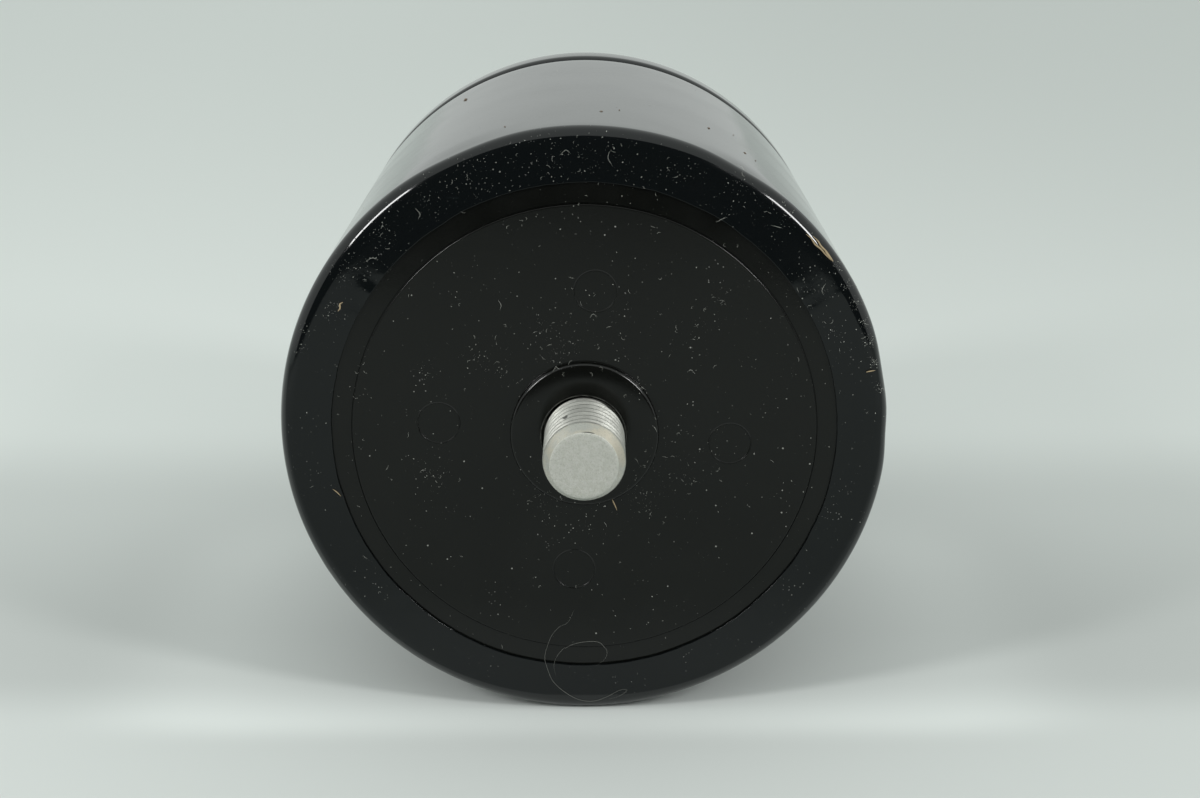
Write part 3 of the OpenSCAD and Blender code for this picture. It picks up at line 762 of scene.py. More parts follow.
def plain_finish(colours, name, colour_name, lightness, roughness, ior, grain_size, grain_depth):
    """A moulded, rolled or pressed material with one grain that varies its colour and surface."""
    rgb = toned(getattr(colours, colour_name), lightness)[:3]
    material, tree, shader, where = new_finish(name, **({"IOR": ior} if ior else {"Metallic": 1.0}))
    fine = grain(tree, where, grain_size * MM, 4)
    cloud = grain(tree, where, grain_size * 16 * MM, 4)
    shade = add(tree, "Mix", (cloud, toned(rgb, 0.8), toned(rgb, 1.15)), **TINTS)
    dullness = (fine, 0.25, 0.75, roughness * 0.85, min(1.0, roughness * 1.15))
    feed(tree, shader,
         Base_Color=add(tree, "Mix", (fine, shade, toned(rgb, 1.05)), **TINTS),
         Roughness=add(tree, "MapRange", dullness, **SOFT))
    raised(tree, shader, (fine, grain_depth * MM))
    return material


def finish_for(scene, slot):
    """The finish of a material slot, made when it is first asked for."""
    colours = scene.capacitor_colours
    if slot in PLAIN_FINISHES:
        recipe = PLAIN_FINISHES[slot]
        return bpy.data.materials.get(recipe[0]) or plain_finish(colours, *recipe)
    name, build, rgb = {
        "sleeve_pvc": ("shrunk_pvc", shrunk_pvc, None),
        "disc_plastic": ("moulded_nylon", moulded_nylon, None),
        "can_aluminium": ("extruded_aluminium", extruded_aluminium, None),
        "terminal_aluminium": ("turned_aluminium", turned_aluminium, colours.terminal),
        "rivet_aluminium": ("headed_aluminium", turned_aluminium, colours.aluminium),
    }[slot]
    return bpy.data.materials.get(name) or (build(name, rgb) if rgb else build(scene))


# Operators


class CAPACITOR_OT_can(bpy.types.Operator):
    """Makes the can with its threaded stud"""

    bl_idname = "capacitor.build_can"
    bl_label = "Build Can"

    def execute(self, context):
        form = Form(context.scene)
        can = form.can
        neck = can.stud_radius - can.neck_cut
        tip = can.stud_radius - can.stud_chamfer_width
        soft = 0.1 * MM
        start = form.stud_tip + soft
        end = form.collar_top + can.thread_sunk + can.neck_runout
        first_crest = form.stud_tip + can.thread_start

        def surface(place, turn):
            share = thread_share(place - first_crest, turn, can.thread_pitch)
            # The first groove starts beside the chamfer, sooner below than on top
            begun = form.stud_tip + can.stud_chamfer + can.thread_lead / 2 * (np.cos(turn) - 0.6)
            lead = np.clip((place - begun) / can.thread_lead, 0, 1)
            crest = can.stud_radius - can.thread_depth * share * lead
            cone = tip + (place - form.stud_tip) * can.stud_chamfer_width / can.stud_chamfer
            taper = neck + (end - place) * can.neck_cut / can.neck_runout
            return np.minimum(np.minimum(crest, cone), np.maximum(taper, neck))

        turn = around(CAN_COLUMNS)
        nose, root = surface(np.full(CAN_COLUMNS, start), turn), surface(np.full(CAN_COLUMNS, end), turn)
        end_face = [(0, form.stud_tip), (tip * 0.5, form.stud_tip), (tip * 0.9, form.stud_tip),
                    (nose - soft, form.stud_tip), (nose - soft * 0.3, form.stud_tip + soft * 0.3),
                    (nose, start)]
        outside = (
            [(root, end), (neck, end + 0.05 * MM)]
            + arc((neck + can.root_radius, form.floor - can.root_radius), can.root_radius, 180, 90)
            + arc((form.can_radius - can.corner_radius, form.floor + can.corner_radius),
                  can.corner_radius, -90, 0)
            + form.wall_line(0, 180))
        inside = ([(0, form.inside)]
                  + arc((form.can_radius - can.wall - can.fillet_radius,
                         form.inside + can.fillet_radius), can.fillet_radius, -90, 0)
                  + form.wall_line(-can.wall, 180))
        parts = [turned(end_face, CAN_COLUMNS),
                 threaded(surface, can.thread_pitch, start, end, CAN_COLUMNS, first_crest),
                 turned(outside + inside[::-1], CAN_COLUMNS)]
        make_piece("can_with_thread", *joined(parts), "can_aluminium", ("can",))
        return {"FINISHED"}


class CAPACITOR_OT_disc(bpy.types.Operator):
    """Makes the moulded base disc with its collar and ejector marks"""

    bl_idname = "capacitor.build_disc"
    bl_label = "Build Base Disc"

    def execute(self, context):
        form = Form(context.scene)
        disc = form.disc
        soft, foot = disc.soft_edge, disc.soft_edge / 4
        turn = around(DISC_COLUMNS)
        hole = (form.can.stud_radius + disc.stud_gap
                + disc.hole_shift * np.cos(turn + disc.hole_turn))
        inner = disc.collar_radius - disc.collar_edge
        seat_in, seat_out = disc.collar_radius + soft * 2, form.seat_radius - soft
        groove_out = form.seat_radius + disc.groove_width
        groove_floor = form.ring(form.seat_radius) + disc.groove_depth
        ring_in = groove_out + soft * 0.4
        collar = (
            [(hole, form.floor), (hole, form.collar_top + soft)]
            + [(hole + soft * (1 - math.cos(t)), form.collar_top + soft * (1 - math.sin(t)))
               for t in (0.4, 0.9, 1.57)]
            + [(inner - soft, -disc.collar_height - soft * 0.16)]
            + arc((inner, disc.collar_edge - disc.collar_height), disc.collar_edge, -84, 0)
            + arc((disc.collar_radius + foot, -foot), foot, 180, 90)
            + [(seat_in, 0)])
        rim = (
            [(seat_out - soft, 0)] + arc((seat_out, soft), soft, -90, 0)
            + [(form.seat_radius, groove_floor), (groove_out, groove_floor),
               (groove_out, form.ring(groove_out) + soft * 0.4), (ring_in, form.ring(ring_in))]
            + [(ring_in + soft, form.ring(ring_in + soft))]
            + filled([(ring_in + 2 * soft, form.ring(ring_in + 2 * soft)), form.disc_corner(0)[0]],
                     2 * MM)
            + form.disc_corner(0)[1:] + [(form.can_radius, form.floor), (hole, form.floor)])
        parts = [turned(collar, DISC_COLUMNS), turned(rim, DISC_COLUMNS)]
        marks = [disc.mark_turn + i * math.pi / 2 for i in range(4)]
        centres = [(disc.mark_place * math.sin(a), disc.mark_place * math.cos(a)) for a in marks]
        rim_radius = disc.mark_radius + disc.mark_flash_width
        parts.append(self.seat(seat_in, seat_out - soft, centres, rim_radius))
        flash, depth = disc.mark_flash, disc.mark_depth
        recess = [(rim_radius, 0), (rim_radius - disc.mark_flash_width * 0.4, -flash),
                  (disc.mark_radius, -flash), (disc.mark_radius - 0.03 * MM, depth * 0.6),
                  (disc.mark_radius - 0.08 * MM, depth), (disc.mark_radius - 0.2 * MM, depth),
                  (0, depth)]
        for x, z in centres:
            points, faces = turned(recess, MARK_COLUMNS)
            parts.append((points + np.array([x, 0, z]), faces))
        make_piece("base_disc_moulding", *joined(parts), "disc_plastic", ("base_disc",))
        return {"FINISHED"}

    def seat(self, inner, outer, centres, hole):
        """The flat seating face between two circles, with round holes for the marks."""
        def circle(centre, radius, columns):
            return [(centre[0] + radius * math.sin(t), centre[1] + radius * math.cos(t))
                    for t in around(columns)]

        loops = [circle((0, 0), inner, DISC_COLUMNS), circle((0, 0), outer, DISC_COLUMNS)]
        loops += [circle(c, hole, MARK_COLUMNS) for c in centres]
        points, edges = [], []
        for loop in loops:
            offset = len(points)
            points += loop
            edges += [(offset + i, offset + (i + 1) % len(loop)) for i in range(len(loop))]

        def clear(x, z, margin):
            radius = math.hypot(x, z)
            return (inner + margin < radius < outer - margin
                    and all(math.dist((x, z), c) > hole + margin for c in centres))

        for ring in np.arange(inner + 3 * MM, outer, 3 * MM):
            for t in around(int(2 * math.pi * ring / (3 * MM))):
                x, z = ring * math.sin(t), ring * math.cos(t)
                if clear(x, z, MM):
                    points.append((x, z))
        vertices, _, faces, _, _, _ = delaunay_2d_cdt(
            [Vector(p) / MM for p in points], edges, [], 0, 1e-6)
        flat = np.array([(v.x * MM, 0, v.y * MM) for v in vertices])
        kept = [tuple(f) for f in faces if clear(*flat[list(f)].mean(0)[[0, 2]], 0)]
        return flat, kept


class CAPACITOR_OT_sleeve(bpy.types.Operator):
    """Makes the shrunk sleeve, with its wandering cut edge, creases and dents"""

    bl_idname = "capacitor.build_sleeve"
    bl_label = "Build Sleeve"

    # Dents in the rim: turn in degrees, place along the axis, reach round and along
    DENTS = ((30, 2 * MM, 5 * MM, 3 * MM), (79, 2.5 * MM, 5 * MM, 4 * MM),
             (-24, 3 * MM, 7 * MM, 4 * MM), (91, 4 * MM, 3.5 * MM, 4 * MM))

    def execute(self, context):
        form = Form(context.scene)
        sleeve, thickness = form.sleeve, form.sleeve.thickness
        lip = form.lip_radius
        slope = form.disc.ring_slope
        front = form.ring(lip) - thickness / math.cos(slope)
        soft = thickness * 0.15
        lap = math.degrees(sleeve.lap)
        wall = filled([form.disc_corner(thickness)[-1], form.wall_line(thickness, lap)[0]], 3 * MM)
        outer = (
            [(lip, front + soft), (lip + soft * 0.3, front + soft * 0.3), (lip + soft, front)]
            + filled([(lip + 2 * soft, front + soft * math.tan(slope)),
                      form.disc_corner(thickness)[0]], 1.2 * MM)
            + form.disc_corner(thickness)[1:-1] + wall + form.wall_line(thickness, lap)[1:])
        inner = ([(lip, form.ring(lip))] + form.disc_corner(0)
                 + filled([form.disc_corner(0)[-1], form.wall_line(0, lap)[0]], 12 * MM)[1:]
                 + form.wall_line(0, lap)[1:])
        outline = outer + inner[::-1]
        points, faces = turned(outline, SLEEVE_COLUMNS, ring_closed=True)
        self.shrink(points, outline, len(outer), form)
        make_piece("shrink_sleeve", points, faces, "sleeve_pvc", ("sleeve",), sharp=50)
        return {"FINISHED"}

    def shrink(self, points, outline, outer_rows, form):
        """Moves the even sleeve's points to where shrinking left them."""
        sleeve = form.sleeve
        turn = around(SLEEVE_COLUMNS)
        flat = np.array(outline)
        ahead, behind = np.roll(flat, -1, 0), np.roll(flat, 1, 0)
        along = ahead - behind
        normals = np.stack([along[:, 1], -along[:, 0]], -1)
        normals /= np.linalg.norm(normals, axis=1)[:, None] + 1e-12
        grid = points.reshape(len(outline), SLEEVE_COLUMNS, 3)
        level = np.zeros(len(turn))
        wave = circle_noise(turn, level, sleeve.wave_span, WAVE_SEED)
        wave += 0.4 * circle_noise(turn, level, sleeve.ripple_span, RIPPLE_SEED)
        lift = form.lip_rise(turn)
        creases = sum(np.exp(-((np.angle(np.exp(1j * (turn - sleeve.crease_turn - half)))
                                * form.can_radius / sleeve.crease_width) ** 2)) for half in (0, math.pi))
        for row in range(len(outline)):
            radius, place = flat[row]
            near_lip = form.near_lip(radius) * (place < MM)
            move_out = sleeve.lip_wave * wave * near_lip
            move_up = -lift * near_lip
            dip = np.zeros(len(turn))
            if row < outer_rows:
                swell = circle_noise(turn, level + place + radius, sleeve.swell_span, SWELL_SEED)
                dip = -sleeve.swell * (0.5 + 0.5 * swell)
                for place_turn, middle, reach, span in self.DENTS:
                    gap = np.angle(np.exp(1j * (turn - math.radians(place_turn)))) * form.can_radius
                    dip -= (sleeve.dent * np.exp(-(gap / reach) ** 2)
                            * math.exp(-((place - middle) / span) ** 2)
                            * (radius > form.edge[0]))
                dip += sleeve.crease * creases * (place < form.edge[1] + 2 * MM)
            shift = dip * normals[row, 0] + move_out
            grid[row, :, 0] += shift * np.sin(turn)
            grid[row, :, 2] += shift * np.cos(turn)
            grid[row, :, 1] += dip * normals[row, 1] + move_up


class CAPACITOR_OT_terminals(bpy.types.Operator):
    """Makes the two terminals with their M6 threads, the polarity signs and the vent plug"""

    bl_idname = "capacitor.build_terminals"
    bl_label = "Build Terminals"

    def execute(self, context):
        sizes = context.scene.capacitor_terminals
        for node, sign in (("terminal_positive", "plus"), ("terminal_negative", "minus")):
            low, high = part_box(node)
            axis = (low.x + high.x) / 2
            make_piece(node + "_threaded", *self.terminal(sizes, low.y, high.y), "terminal_aluminium",
                       (node,), sharp=28, origin=(axis, 0, 0))
            make_piece(sign + "_sign", *self.sign(sizes, sign == "plus"), "cover_plastic", sharp=50,
                       origin=(axis, 0, -sizes.sign_place))
        self.vent(context.scene.capacitor_vent)
        return {"FINISHED"}

    def vent(self, sizes):
        """The vent plug: a soft-edged flange with a shallow dish, and its skirt below."""
        low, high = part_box("vent_plug")
        flange, skirt = (high.x - low.x) / 2, sizes.skirt_radius
        edge, dish = sizes.edge_radius, sizes.dish_radius
        under = high.y - sizes.flange_thickness
        floor = high.y - sizes.dish_depth
        outline = ([(0, floor), (dish * 0.7, floor)]
                   + arc((dish * 0.7, floor + edge), edge, -90, -20)
                   + arc((dish + edge, high.y - edge * 0.5), edge * 0.5, 160, 90)
                   + arc((flange - edge, high.y - edge), edge, 90, 0)
                   + [(flange, under), (skirt, under), (skirt, low.y),
                      (skirt - sizes.skirt_wall, low.y), (skirt - sizes.skirt_wall, under + edge),
                      (0, under + edge)])
        points, faces = turned(outline, BORE_COLUMNS)
        make_piece("vent_plug_moulding", points, faces, "vent_silicone", ("vent_plug",),
                   origin=(0, 0, (low.z + high.z) / 2))

    def terminal(self, sizes, bottom, top):
        """One terminal: head, threaded bore, hexagonal key, post and rivet hole."""
        head = top - sizes.head_height
        cover_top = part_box("vent_plug")[1].y
        key = (bottom + sizes.post_length + cover_top - sizes.key_thickness) / 2
        turn = around(BORE_COLUMNS)
        sector = (np.pi / 2 - turn) % (np.pi / 3) - np.pi / 6
        hexagon = sizes.key_radius * math.cos(math.pi / 6) / np.cos(sector)
        hexagon = np.maximum(hexagon, sizes.body_radius)
        countersink = sizes.countersink
        start, end = top - sizes.bore_depth, top - countersink

        def surface(place, turn):
            groove = thread_share(place, turn, sizes.thread_pitch)
            fade = np.clip((place - start) / (1.5 * sizes.thread_pitch), 0, 1)
            return sizes.bore_radius + sizes.thread_depth * (1 - groove) * fade

        lip = surface(np.full(BORE_COLUMNS, end), turn)
        foot = surface(np.full(BORE_COLUMNS, start), turn)
        chamfer, soft = sizes.chamfer, 0.08 * MM
        outside = [
            (lip, end), (np.maximum(lip, sizes.bore_radius + countersink * 0.9), top - 0.05 * MM),
            (np.maximum(lip, sizes.bore_radius + countersink) + 0.05 * MM, top),
            (sizes.head_radius - chamfer - soft, top), (sizes.head_radius - chamfer, top - soft * 0.3),
            (sizes.head_radius - soft * 0.3, top - chamfer), (sizes.head_radius, top - chamfer - soft),
            (sizes.head_radius, head), (sizes.body_radius, head),
            (sizes.body_radius, key + sizes.key_thickness), (hexagon, key + sizes.key_thickness),
            (hexagon, key), (sizes.post_radius, key), (sizes.post_radius, bottom),
            (sizes.rivet_hole, bottom), (sizes.rivet_hole, bottom + sizes.rivet_grip),
            (0, bottom + sizes.rivet_grip)]
        bore_floor = [(0, start), (sizes.bore_radius * 0.6, start), (foot, start)]
        return joined([
            turned(bore_floor, BORE_COLUMNS),
            threaded(surface, sizes.thread_pitch, start, end, BORE_COLUMNS),
            turned(outside, BORE_COLUMNS)])

    def sign(self, sizes, positive):
        """A raised polarity sign on the cover: a soft-edged bar, or two crossed."""
        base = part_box("vent_plug")[1].y
        half, bar = sizes.sign_size / 2, sizes.sign_bar / 2
        if positive:
            corners = [(bar, bar), (bar, half), (-bar, half), (-bar, bar), (-half, bar), (-half, -bar),
                       (-bar, -bar), (-bar, -half), (bar, -half), (bar, -bar), (half, -bar), (half, bar)]
        else:
            corners = [(half, -bar), (half, bar), (-half, bar), (-half, -bar)]
        # Share of the height, and how far the outline is drawn in there
        levels = [(-0.2, 0.0), (0.62, 0.0), (0.88, 0.06 * MM), (1.0, 0.17 * MM)]
        points, faces, size = [], [], len(corners)
        for height, inset in levels:
            for x, z in corners:
                points.append((x - math.copysign(inset, x), base + height * sizes.sign_height,
                               z - math.copysign(inset, z)))
        for level in range(len(levels) - 1):
            for i in range(size):
                a, b = level * size + i, level * size + (i + 1) % size
                faces.append((a, b, b + size, a + size))
        faces.append(tuple(range(size)))
        faces.append(tuple(range((len(levels) - 1) * size, len(levels) * size)))
        return np.array(points), faces


class CAPACITOR_OT_inner_parts(bpy.types.Operator):
    """Gives the cover, the seals and everything sealed in the can their finishes"""

    bl_idname = "capacitor.dress_inner_parts"
    bl_label = "Dress Cover And Inner Parts"

    def execute(self, context):
        replaced = {"can", "sleeve", "base_disc", "terminal_positive", "terminal_negative",
                    "vent_plug"}
        for part in frame["record"]["subparts"]:
            if part["node"] not in replaced:
                dress(part["node"], part["material_slot"])
        return {"FINISHED"}


# Places in the photo of what lies on the part, in its own pixels

# Dusty patches: column, row, reach and number of flecks
DUSTY_PATCHES = (
    (350, 270, 18, 50), (385, 235, 24, 60), (330, 310, 12, 30), (430, 195, 24, 45), (470, 180, 26, 40),
    (560, 160, 34, 45), (620, 160, 34, 45), (680, 172, 26, 35), (740, 190, 22, 35), (782, 215, 18, 30),
    (808, 290, 18, 20), (835, 330, 18, 25), (839, 265, 7, 40), (848, 285, 7, 50), (857, 303, 7, 60),
    (864, 322, 6, 65), (870, 341, 6, 60), (875, 363, 5, 50), (879, 388, 5, 35), (306, 330, 9, 25),
    (300, 348, 7, 20), (430, 475, 22, 60), (660, 480, 34, 70), (560, 350, 26, 40), (690, 330, 32, 45),
    (545, 330, 20, 30), (720, 305, 18, 20), (425, 372, 14, 25), (640, 500, 24, 45), (545, 500, 22, 45),
    (700, 460, 26, 30), (478, 356, 14, 25), (495, 365, 24, 40), (590, 335, 40, 60), (640, 390, 14, 20),
    (575, 512, 34, 50), (530, 405, 8, 12))
# Straw-coloured shreds: the line of each, and its radius in millimetres
STRAW_SHREDS = (
    (((806, 234), (811, 238), (815, 244), (821, 249), (826, 255), (831, 260)), 0.13),
    (((813, 236), (818, 241), (821, 246), (827, 252), (832, 259)), 0.15),
    (((825, 251), (829, 256), (833, 261)), 0.2),
    (((612, 499), (614, 503), (617, 510)), 0.1),
    (((866, 372), (870, 371), (875, 370)), 0.1),
    (((338, 311), (340, 308), (340, 304), (343, 302)), 0.13),
    (((333, 489), (337, 492), (341, 496)), 0.08),
)
# Brown grit on the sleeve's side: column, row and radius in millimetres
BROWN_GRIT = ((465.6, 99.7, 0.3), (709, 128.3, 0.26), (745, 153, 0.2), (755.7, 160.8, 0.16),
              (601.3, 111.3, 0.17), (619.5, 110.1, 0.14), (733.4, 135, 0.12), (504.8, 126.6, 0.12))
# The long hair that curls below the stud, and the loop that it makes
CURLED_HAIR = ((574, 610), (568, 622), (558, 628), (550, 639), (545, 655), (547, 667), (553, 681),
               (565, 692), (578, 699), (592, 701), (606, 697), (620, 690), (627, 690), (619, 696),
               (609, 699))
HAIR_LOOP = ((556, 676), (554, 664), (560, 652), (569, 646), (583, 642), (598, 642), (605, 647),
             (607, 654), (603, 661), (596, 664))
# Fibres that stand out from the rest
PALE_FIBRES = (((590, 318), (593, 314), (597, 317)), ((716, 222), (722, 219), (727, 217)),
               ((771, 225), (778, 227), (782, 228)), ((652, 425), (655, 428), (657, 432)),
               ((687, 372), (691, 370), (695, 374)), ((553, 371), (556, 368), (560, 369)),
               ((498, 300), (501, 305), (500, 310)), ((826, 283), (822, 290), (824, 295)),
               ((415, 208), (420, 214), (418, 219)), ((560, 155), (566, 150), (571, 154)),
               ((610, 150), (608, 158), (612, 165)), ((365, 262), (372, 258), (378, 260)))


class Surface:
    """The part's outside, for what lies on it."""

    def __init__(self, scene):
        form = self.form = Form(scene)
        stage = scene.capacitor_stage
        outline = form.front()
        self.radii = np.array([p[0] for p in outline])
        self.places = np.array([p[1] for p in outline])
        self.hole = self.radii[0]
        # Half-way round the disc's outer edge, past which the surface's slope counts
        self.half_round = self.radii[-(len(form.disc_corner(0)) + 1) // 2]
        self.side = form.can_radius + form.sleeve.thickness
        # Where the dust on the side ends, short of the bead
        self.far = form.bead - 5 * MM
        self.eye = np.array(stage.camera_place)
        turn, dip = stage.camera_turn, stage.camera_dip
        self.ahead = np.array([math.sin(turn) * math.cos(dip), math.cos(turn) * math.cos(dip),
                               -math.sin(dip)])
        self.right = np.array([math.cos(turn), -math.sin(turn), 0])
        self.up = np.cross(self.right, self.ahead)
        self.focal = stage.focal_length / SENSOR_WIDTH * PHOTO_WIDTH

    def front(self, x, z):
        """The point of the stud end over a place in the can's cross-section, and its normal."""
        radius = min(max(math.hypot(x, z), self.hole), self.radii[-1])
        step = 0.02 * MM
        place = np.interp(radius, self.radii, self.places)
        slope = (np.interp(radius + step, self.radii, self.places) - place) / step
        slope = min(max(slope, 0), 3) if radius > self.half_round else 0.0
        if radius > self.form.lip_radius:
            place -= self.form.lip_rise(np.array([math.atan2(x, z)]))[0] * self.form.near_lip(radius)
        outward = np.array([x, 0, z]) / (math.hypot(x, z) + 1e-9)
        normal = outward * slope + np.array([0, -1, 0])
        point = outward * radius + np.array([0, place, 0])
        return point, normal / np.linalg.norm(normal)

    def wall(self, turn, place):
        """A point of the sleeve's side and its normal."""
        normal = np.array([math.sin(turn), 0, math.cos(turn)])
        return normal * self.side + np.array([0, place, 0]), normal

    def ray(self, column, row):
        """The way from the camera through a pixel of the photo."""
        return (self.ahead + self.right * (column - PHOTO_WIDTH / 2) / self.focal
                - self.up * (row - PHOTO_HEIGHT / 2) / self.focal)

    def seen_on_wall(self, column, row):
        """The point of the sleeve's side that the photo shows at a pixel."""
        ray, eye = self.ray(column, row), self.eye
        a = ray[0] ** 2 + ray[2] ** 2
        b = ray[0] * eye[0] + ray[2] * eye[2]
        c = eye[0] ** 2 + eye[2] ** 2 - self.side ** 2
        point = eye + ray * (-b - math.sqrt(b * b - a * c)) / a
        return self.wall(math.atan2(point[0], point[2]), point[1])

    def seen(self, column, row):
        """The point of the stud end that the photo shows at a pixel."""
        ray = self.ray(column, row)
        place = 0.0
        for _ in range(12):
            point = self.eye + ray * (place - self.eye[1]) / ray[1]
            place = self.front(point[0], point[2])[0][1]
        return self.front(point[0], point[2])


def smooth_path(points, pieces):
    """A smooth line through points, as a uniform Catmull-Rom curve."""
    points = [np.array(p) for p in points]
    ends = [2 * points[0] - points[1]] + points + [2 * points[-1] - points[-2]]
    result = []
    for a, b, c, d in zip(ends, ends[1:], ends[2:], ends[3:]):
        for i in range(pieces):
            t = i / pieces
            result.append(0.5 * (2 * b + (c - a) * t + (2 * a - 5 * b + 4 * c - d) * t ** 2
                                 + (3 * b - a - 3 * c + d) * t ** 3))
    return result + [points[-1]]


def strand(path, normals, radius, sides=5):
    """A closed thin strand that lies along a path."""
    points, faces = [], []
    last = len(path) - 1
    for i, (point, normal) in enumerate(zip(path, normals)):
        along = path[min(i + 1, last)] - path[max(i - 1, 0)]
        along = along / (np.linalg.norm(along) + 1e-12)
        across = np.cross(along, normal)
        across /= np.linalg.norm(across) + 1e-12
        lift = np.cross(across, along)
        thin = radius * (0.2 + 0.8 * math.sin(math.pi * min(max(i / last, 0.03), 0.97)))
        for k in range(sides):
            t = 2 * math.pi * k / sides
            points.append(point + normal * radius + (across * math.cos(t) + lift * math.sin(t)) * thin)
    for i in range(last):
        for k in range(sides):
            a, b = i * sides + k, i * sides + (k + 1) % sides
            faces.append((a, b, b + sides, a + sides))
    faces += [tuple(range(sides)), tuple(range(last * sides, (last + 1) * sides))]
    return np.array(points), faces


def fleck(point, normal, radius, draw):
    """A closed, irregular, low dust fleck on a surface."""
    helper = np.array([0, 0, 1]) if abs(normal[2]) < 0.8 else np.array([1, 0, 0])
    across = np.cross(normal, helper)
    across /= np.linalg.norm(across)
    up = np.cross(normal, across)
    stretch, twist = draw.uniform(1, 2.2), draw.uniform(0, math.pi)
    sides = 6
    base = []
    for k in range(sides):
        t = 2 * math.pi * k / sides
        reach = radius * draw.uniform(0.6, 1.1)
        a, b = reach * stretch * math.cos(t), reach * math.sin(t)
        base.append(point + across * (a * math.cos(twist) - b * math.sin(twist))
                    + up * (a * math.sin(twist) + b * math.cos(twist)))
    points = base + [point + normal * radius * draw.uniform(0.5, 0.9)]
    faces = [(k, (k + 1) % sides, sides) for k in range(sides)] + [tuple(range(sides))]
    return np.array(points), faces


class CAPACITOR_OT_dirt(bpy.types.Operator):
    """Lays dust, lint, shreds and a curled hair on the part"""

    bl_idname = "capacitor.lay_dirt"
    bl_label = "Lay Dust And Lint"

    def execute(self, context):
        scene = context.scene
        dirt = scene.capacitor_dirt
        surface = Surface(scene)
        draw = random.Random(dirt.seed)
        made = {kind: plain_finish(scene.capacitor_colours, *recipe)
                for kind, recipe in DIRT_FINISHES.items()}
        flecks = [fleck(*place, self.fleck_size(dirt, draw), draw)
                  for place in self.fleck_places(dirt, surface, draw)]
        fibres = self.fibres(dirt, surface, draw)
        shreds = [self.along(surface, path, width * MM) for path, width in STRAW_SHREDS]
        hairs = [self.along(surface, path, dirt.hair_radius) for path in (CURLED_HAIR, HAIR_LOOP)]
        grit = [fleck(*surface.seen_on_wall(column, row), radius * MM, draw)
                for column, row, radius in BROWN_GRIT]
        for name, parts, kind, sharp in (
            ("dust_flecks", flecks, "lint", 180), ("lint_fibres", fibres, "lint", 38),
            ("straw_shreds", shreds, "straw", 38), ("curled_hair", hairs, "hair", 38),
            ("brown_grit", grit, "grit", 180),
        ):
            make_piece(name, *joined(parts), "wrap_paper", finish=made[kind], sharp=sharp)
        return {"FINISHED"}

    def fleck_size(self, dirt, draw):
        """Mostly small flecks and a few large ones."""
        return dirt.fleck_radius * (0.2 + 0.8 * draw.random() ** 5)

    def fleck_places(self, dirt, surface, draw):
        """Points and normals of the flecks: over the disc, the ring, the patches and the side."""
        places = []
        lip, side = surface.form.lip_radius, surface.side
        clear = 0.6 * MM
        for _ in range(dirt.face_flecks):
            radius = (lip - clear) * math.sqrt(draw.uniform(0.05, 1))
            turn = draw.uniform(0, 2 * math.pi)
            places.append(surface.front(radius * math.sin(turn), radius * math.cos(turn)))
        for _ in range(dirt.ring_flecks):
            radius = draw.uniform(lip + 0.2 * MM, side - clear)
            turn = draw.gauss(0, 1.2)
            places.append(surface.front(radius * math.sin(turn), radius * math.cos(turn)))
        for column, row, reach, number in DUSTY_PATCHES:
            for _ in range(round(number * dirt.patch_share)):
                places.append(surface.seen(draw.gauss(column, reach * 0.5),
                                           draw.gauss(row, reach * 0.5)))
        for _ in range(dirt.side_flecks):
            places.append(surface.wall(draw.gauss(0, 0.9), draw.uniform(4 * MM, surface.far)))
        return places

    def fibres(self, dirt, surface, draw):
        """Short curled fibres: some where the photo shows them, some in the patches, some scattered."""
        made = [self.along(surface, path, dirt.fibre_radius * 1.3) for path in PALE_FIBRES]
        sizes = [patch[2] ** 2 for patch in DUSTY_PATCHES]
        for number in range(dirt.fibres):
            if number % 3:
                column, row, reach, _ = draw.choices(DUSTY_PATCHES, sizes)[0]
                x, _, z = surface.seen(draw.gauss(column, reach * 0.6), draw.gauss(row, reach * 0.6))[0]
            else:
                radius = (surface.side - 2 * MM) * math.sqrt(draw.uniform(0.05, 1))
                turn = draw.gauss(0, 1.5)
                x, z = radius * math.sin(turn), radius * math.cos(turn)
            heading, bend = draw.uniform(0, 2 * math.pi), draw.uniform(-4, 4)
            reach = draw.uniform(0.25 * MM, dirt.fibre_length)
            path = []
            for step in range(5):
                path.append(surface.front(x, z))
                x += reach / 4 * math.cos(heading)
                z += reach / 4 * math.sin(heading)
                heading += bend / 4
            made.append(strand([p for p, _ in path], [n for _, n in path], dirt.fibre_radius))
        return made

    def along(self, surface, pixels, radius):
        """A strand that lies where the photo shows it."""
        found = [surface.seen(*pixel) for pixel in pixels]
        path = smooth_path([p for p, _ in found], 6)
        lying = [surface.front(p[0], p[2]) for p in path]
        places = [p[1] for p, _ in lying]
        for i, (point, _) in enumerate(lying):
            # It bridges the small steps below it
            point[1] = min(places[max(i - 2, 0):i + 3])
        return strand([p for p, _ in lying], [n for _, n in lying], radius)


